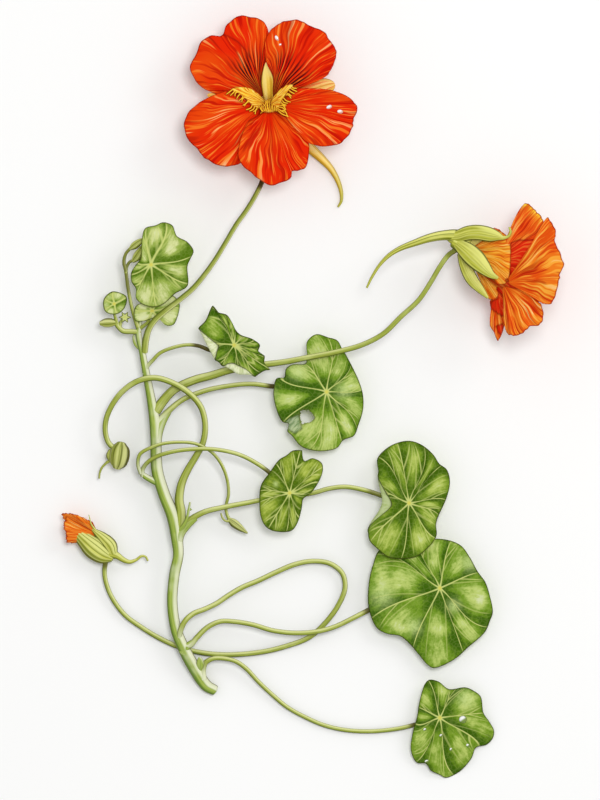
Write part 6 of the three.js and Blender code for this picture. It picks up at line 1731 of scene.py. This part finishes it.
class NASTURTIUM_OT_stage(bpy.types.Operator):
    """Pale floor, soft light and a camera straight above"""

    bl_idname = "nasturtium.stage"
    bl_label = "Floor, light and camera"

    def execute(self, context):
        scene, stage = context.scene, context.scene.nasturtium_stage
        mesh = bpy.data.meshes.new("floor")
        corners = np.array([(-1, -1, 0), (1, -1, 0), (1, 1, 0), (-1, 1, 0)]) * FLOOR_HALF
        mesh.from_pydata(corners, [], [(0, 1, 2, 3)])
        paper = {"Base Color": (0.95, 0.95, 0.94), "Roughness": 0.9}
        mesh.materials.append(make_material("Pale floor", lambda nodes: paper))
        floor = bpy.data.objects.new("floor", mesh)
        scene.collection.objects.link(floor)
        floor.location.z = FLOOR_Z

        scene.view_settings.view_transform = "Standard"
        scene.world = bpy.data.worlds.new("Room")
        scene.world.use_nodes = True
        air = scene.world.node_tree.nodes["Background"].inputs
        air["Color"].default_value = (1, 1, 1, 1)
        air["Strength"].default_value = stage.sky

        for name, place, wide, share in LAMPS:
            lamp = bpy.data.lights.new(name, "AREA")
            lamp.shape, lamp.size, lamp.energy = "DISK", wide, stage.key_power * share
            made = bpy.data.objects.new(name, lamp)
            made.location = place
            made.rotation_euler = Vector([-c for c in place]).to_track_quat("-Z", "Y").to_euler()
            scene.collection.objects.link(made)

        camera = bpy.data.cameras.new("camera")
        camera.lens, camera.sensor_width = stage.lens, SENSOR
        camera.clip_start, camera.clip_end = NEAR, FAR
        eye = bpy.data.objects.new("camera", camera)
        eye.location = (*VIEW_CENTRE, VIEW_LEVEL + VIEW_HEIGHT * stage.lens / SENSOR)
        scene.collection.objects.link(eye)
        scene.camera = eye
        return {"FINISHED"}


class NASTURTIUM_PT_panel(bpy.types.Panel):
    """Lists the pieces of the shoot and their sizes and colours"""

    bl_idname = "NASTURTIUM_PT_panel"
    bl_label = "Nasturtium shoot"
    bl_space_type = "VIEW_3D"
    bl_region_type = "UI"
    bl_category = "Nasturtium"

    def draw(self, context):
        for operator in OPERATORS:
            self.layout.operator(operator.bl_idname)
        for name in GROUPS:
            settings, box = getattr(context.scene, name), self.layout.box()
            for key in settings.__annotations__:
                box.prop(settings, key)


OPERATORS = (
    NASTURTIUM_OT_stem,
    NASTURTIUM_OT_stalks,
    NASTURTIUM_OT_leaves,
    NASTURTIUM_OT_buds,
    NASTURTIUM_OT_opening_bud,
    NASTURTIUM_OT_open_flower,
    NASTURTIUM_OT_side_flower,
    NASTURTIUM_OT_dew,
    NASTURTIUM_OT_stage,
)
GROUPS = {
    "nasturtium_sizes": NasturtiumSizes,
    "nasturtium_colours": NasturtiumColours,
    "nasturtium_stage": NasturtiumStage,
}


def register():
    """Makes the sizes, operators and panel known to Blender."""
    for name, kind in GROUPS.items():
        bpy.utils.register_class(kind)
        setattr(bpy.types.Scene, name, bpy.props.PointerProperty(type=kind))
    for kind in (*OPERATORS, NASTURTIUM_PT_panel):
        bpy.utils.register_class(kind)


def unregister():
    """Takes them away again."""
    for kind in (NASTURTIUM_PT_panel, *reversed(OPERATORS)):
        bpy.utils.unregister_class(kind)
    for name, kind in GROUPS.items():
        delattr(bpy.types.Scene, name)
        bpy.utils.unregister_class(kind)


def main():
    """Builds every piece and the stage."""
    register()
    for operator in OPERATORS:
        getattr(bpy.ops.nasturtium, operator.bl_idname.split(".")[1])()
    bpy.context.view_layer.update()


if __name__ == "__main__":
    main()
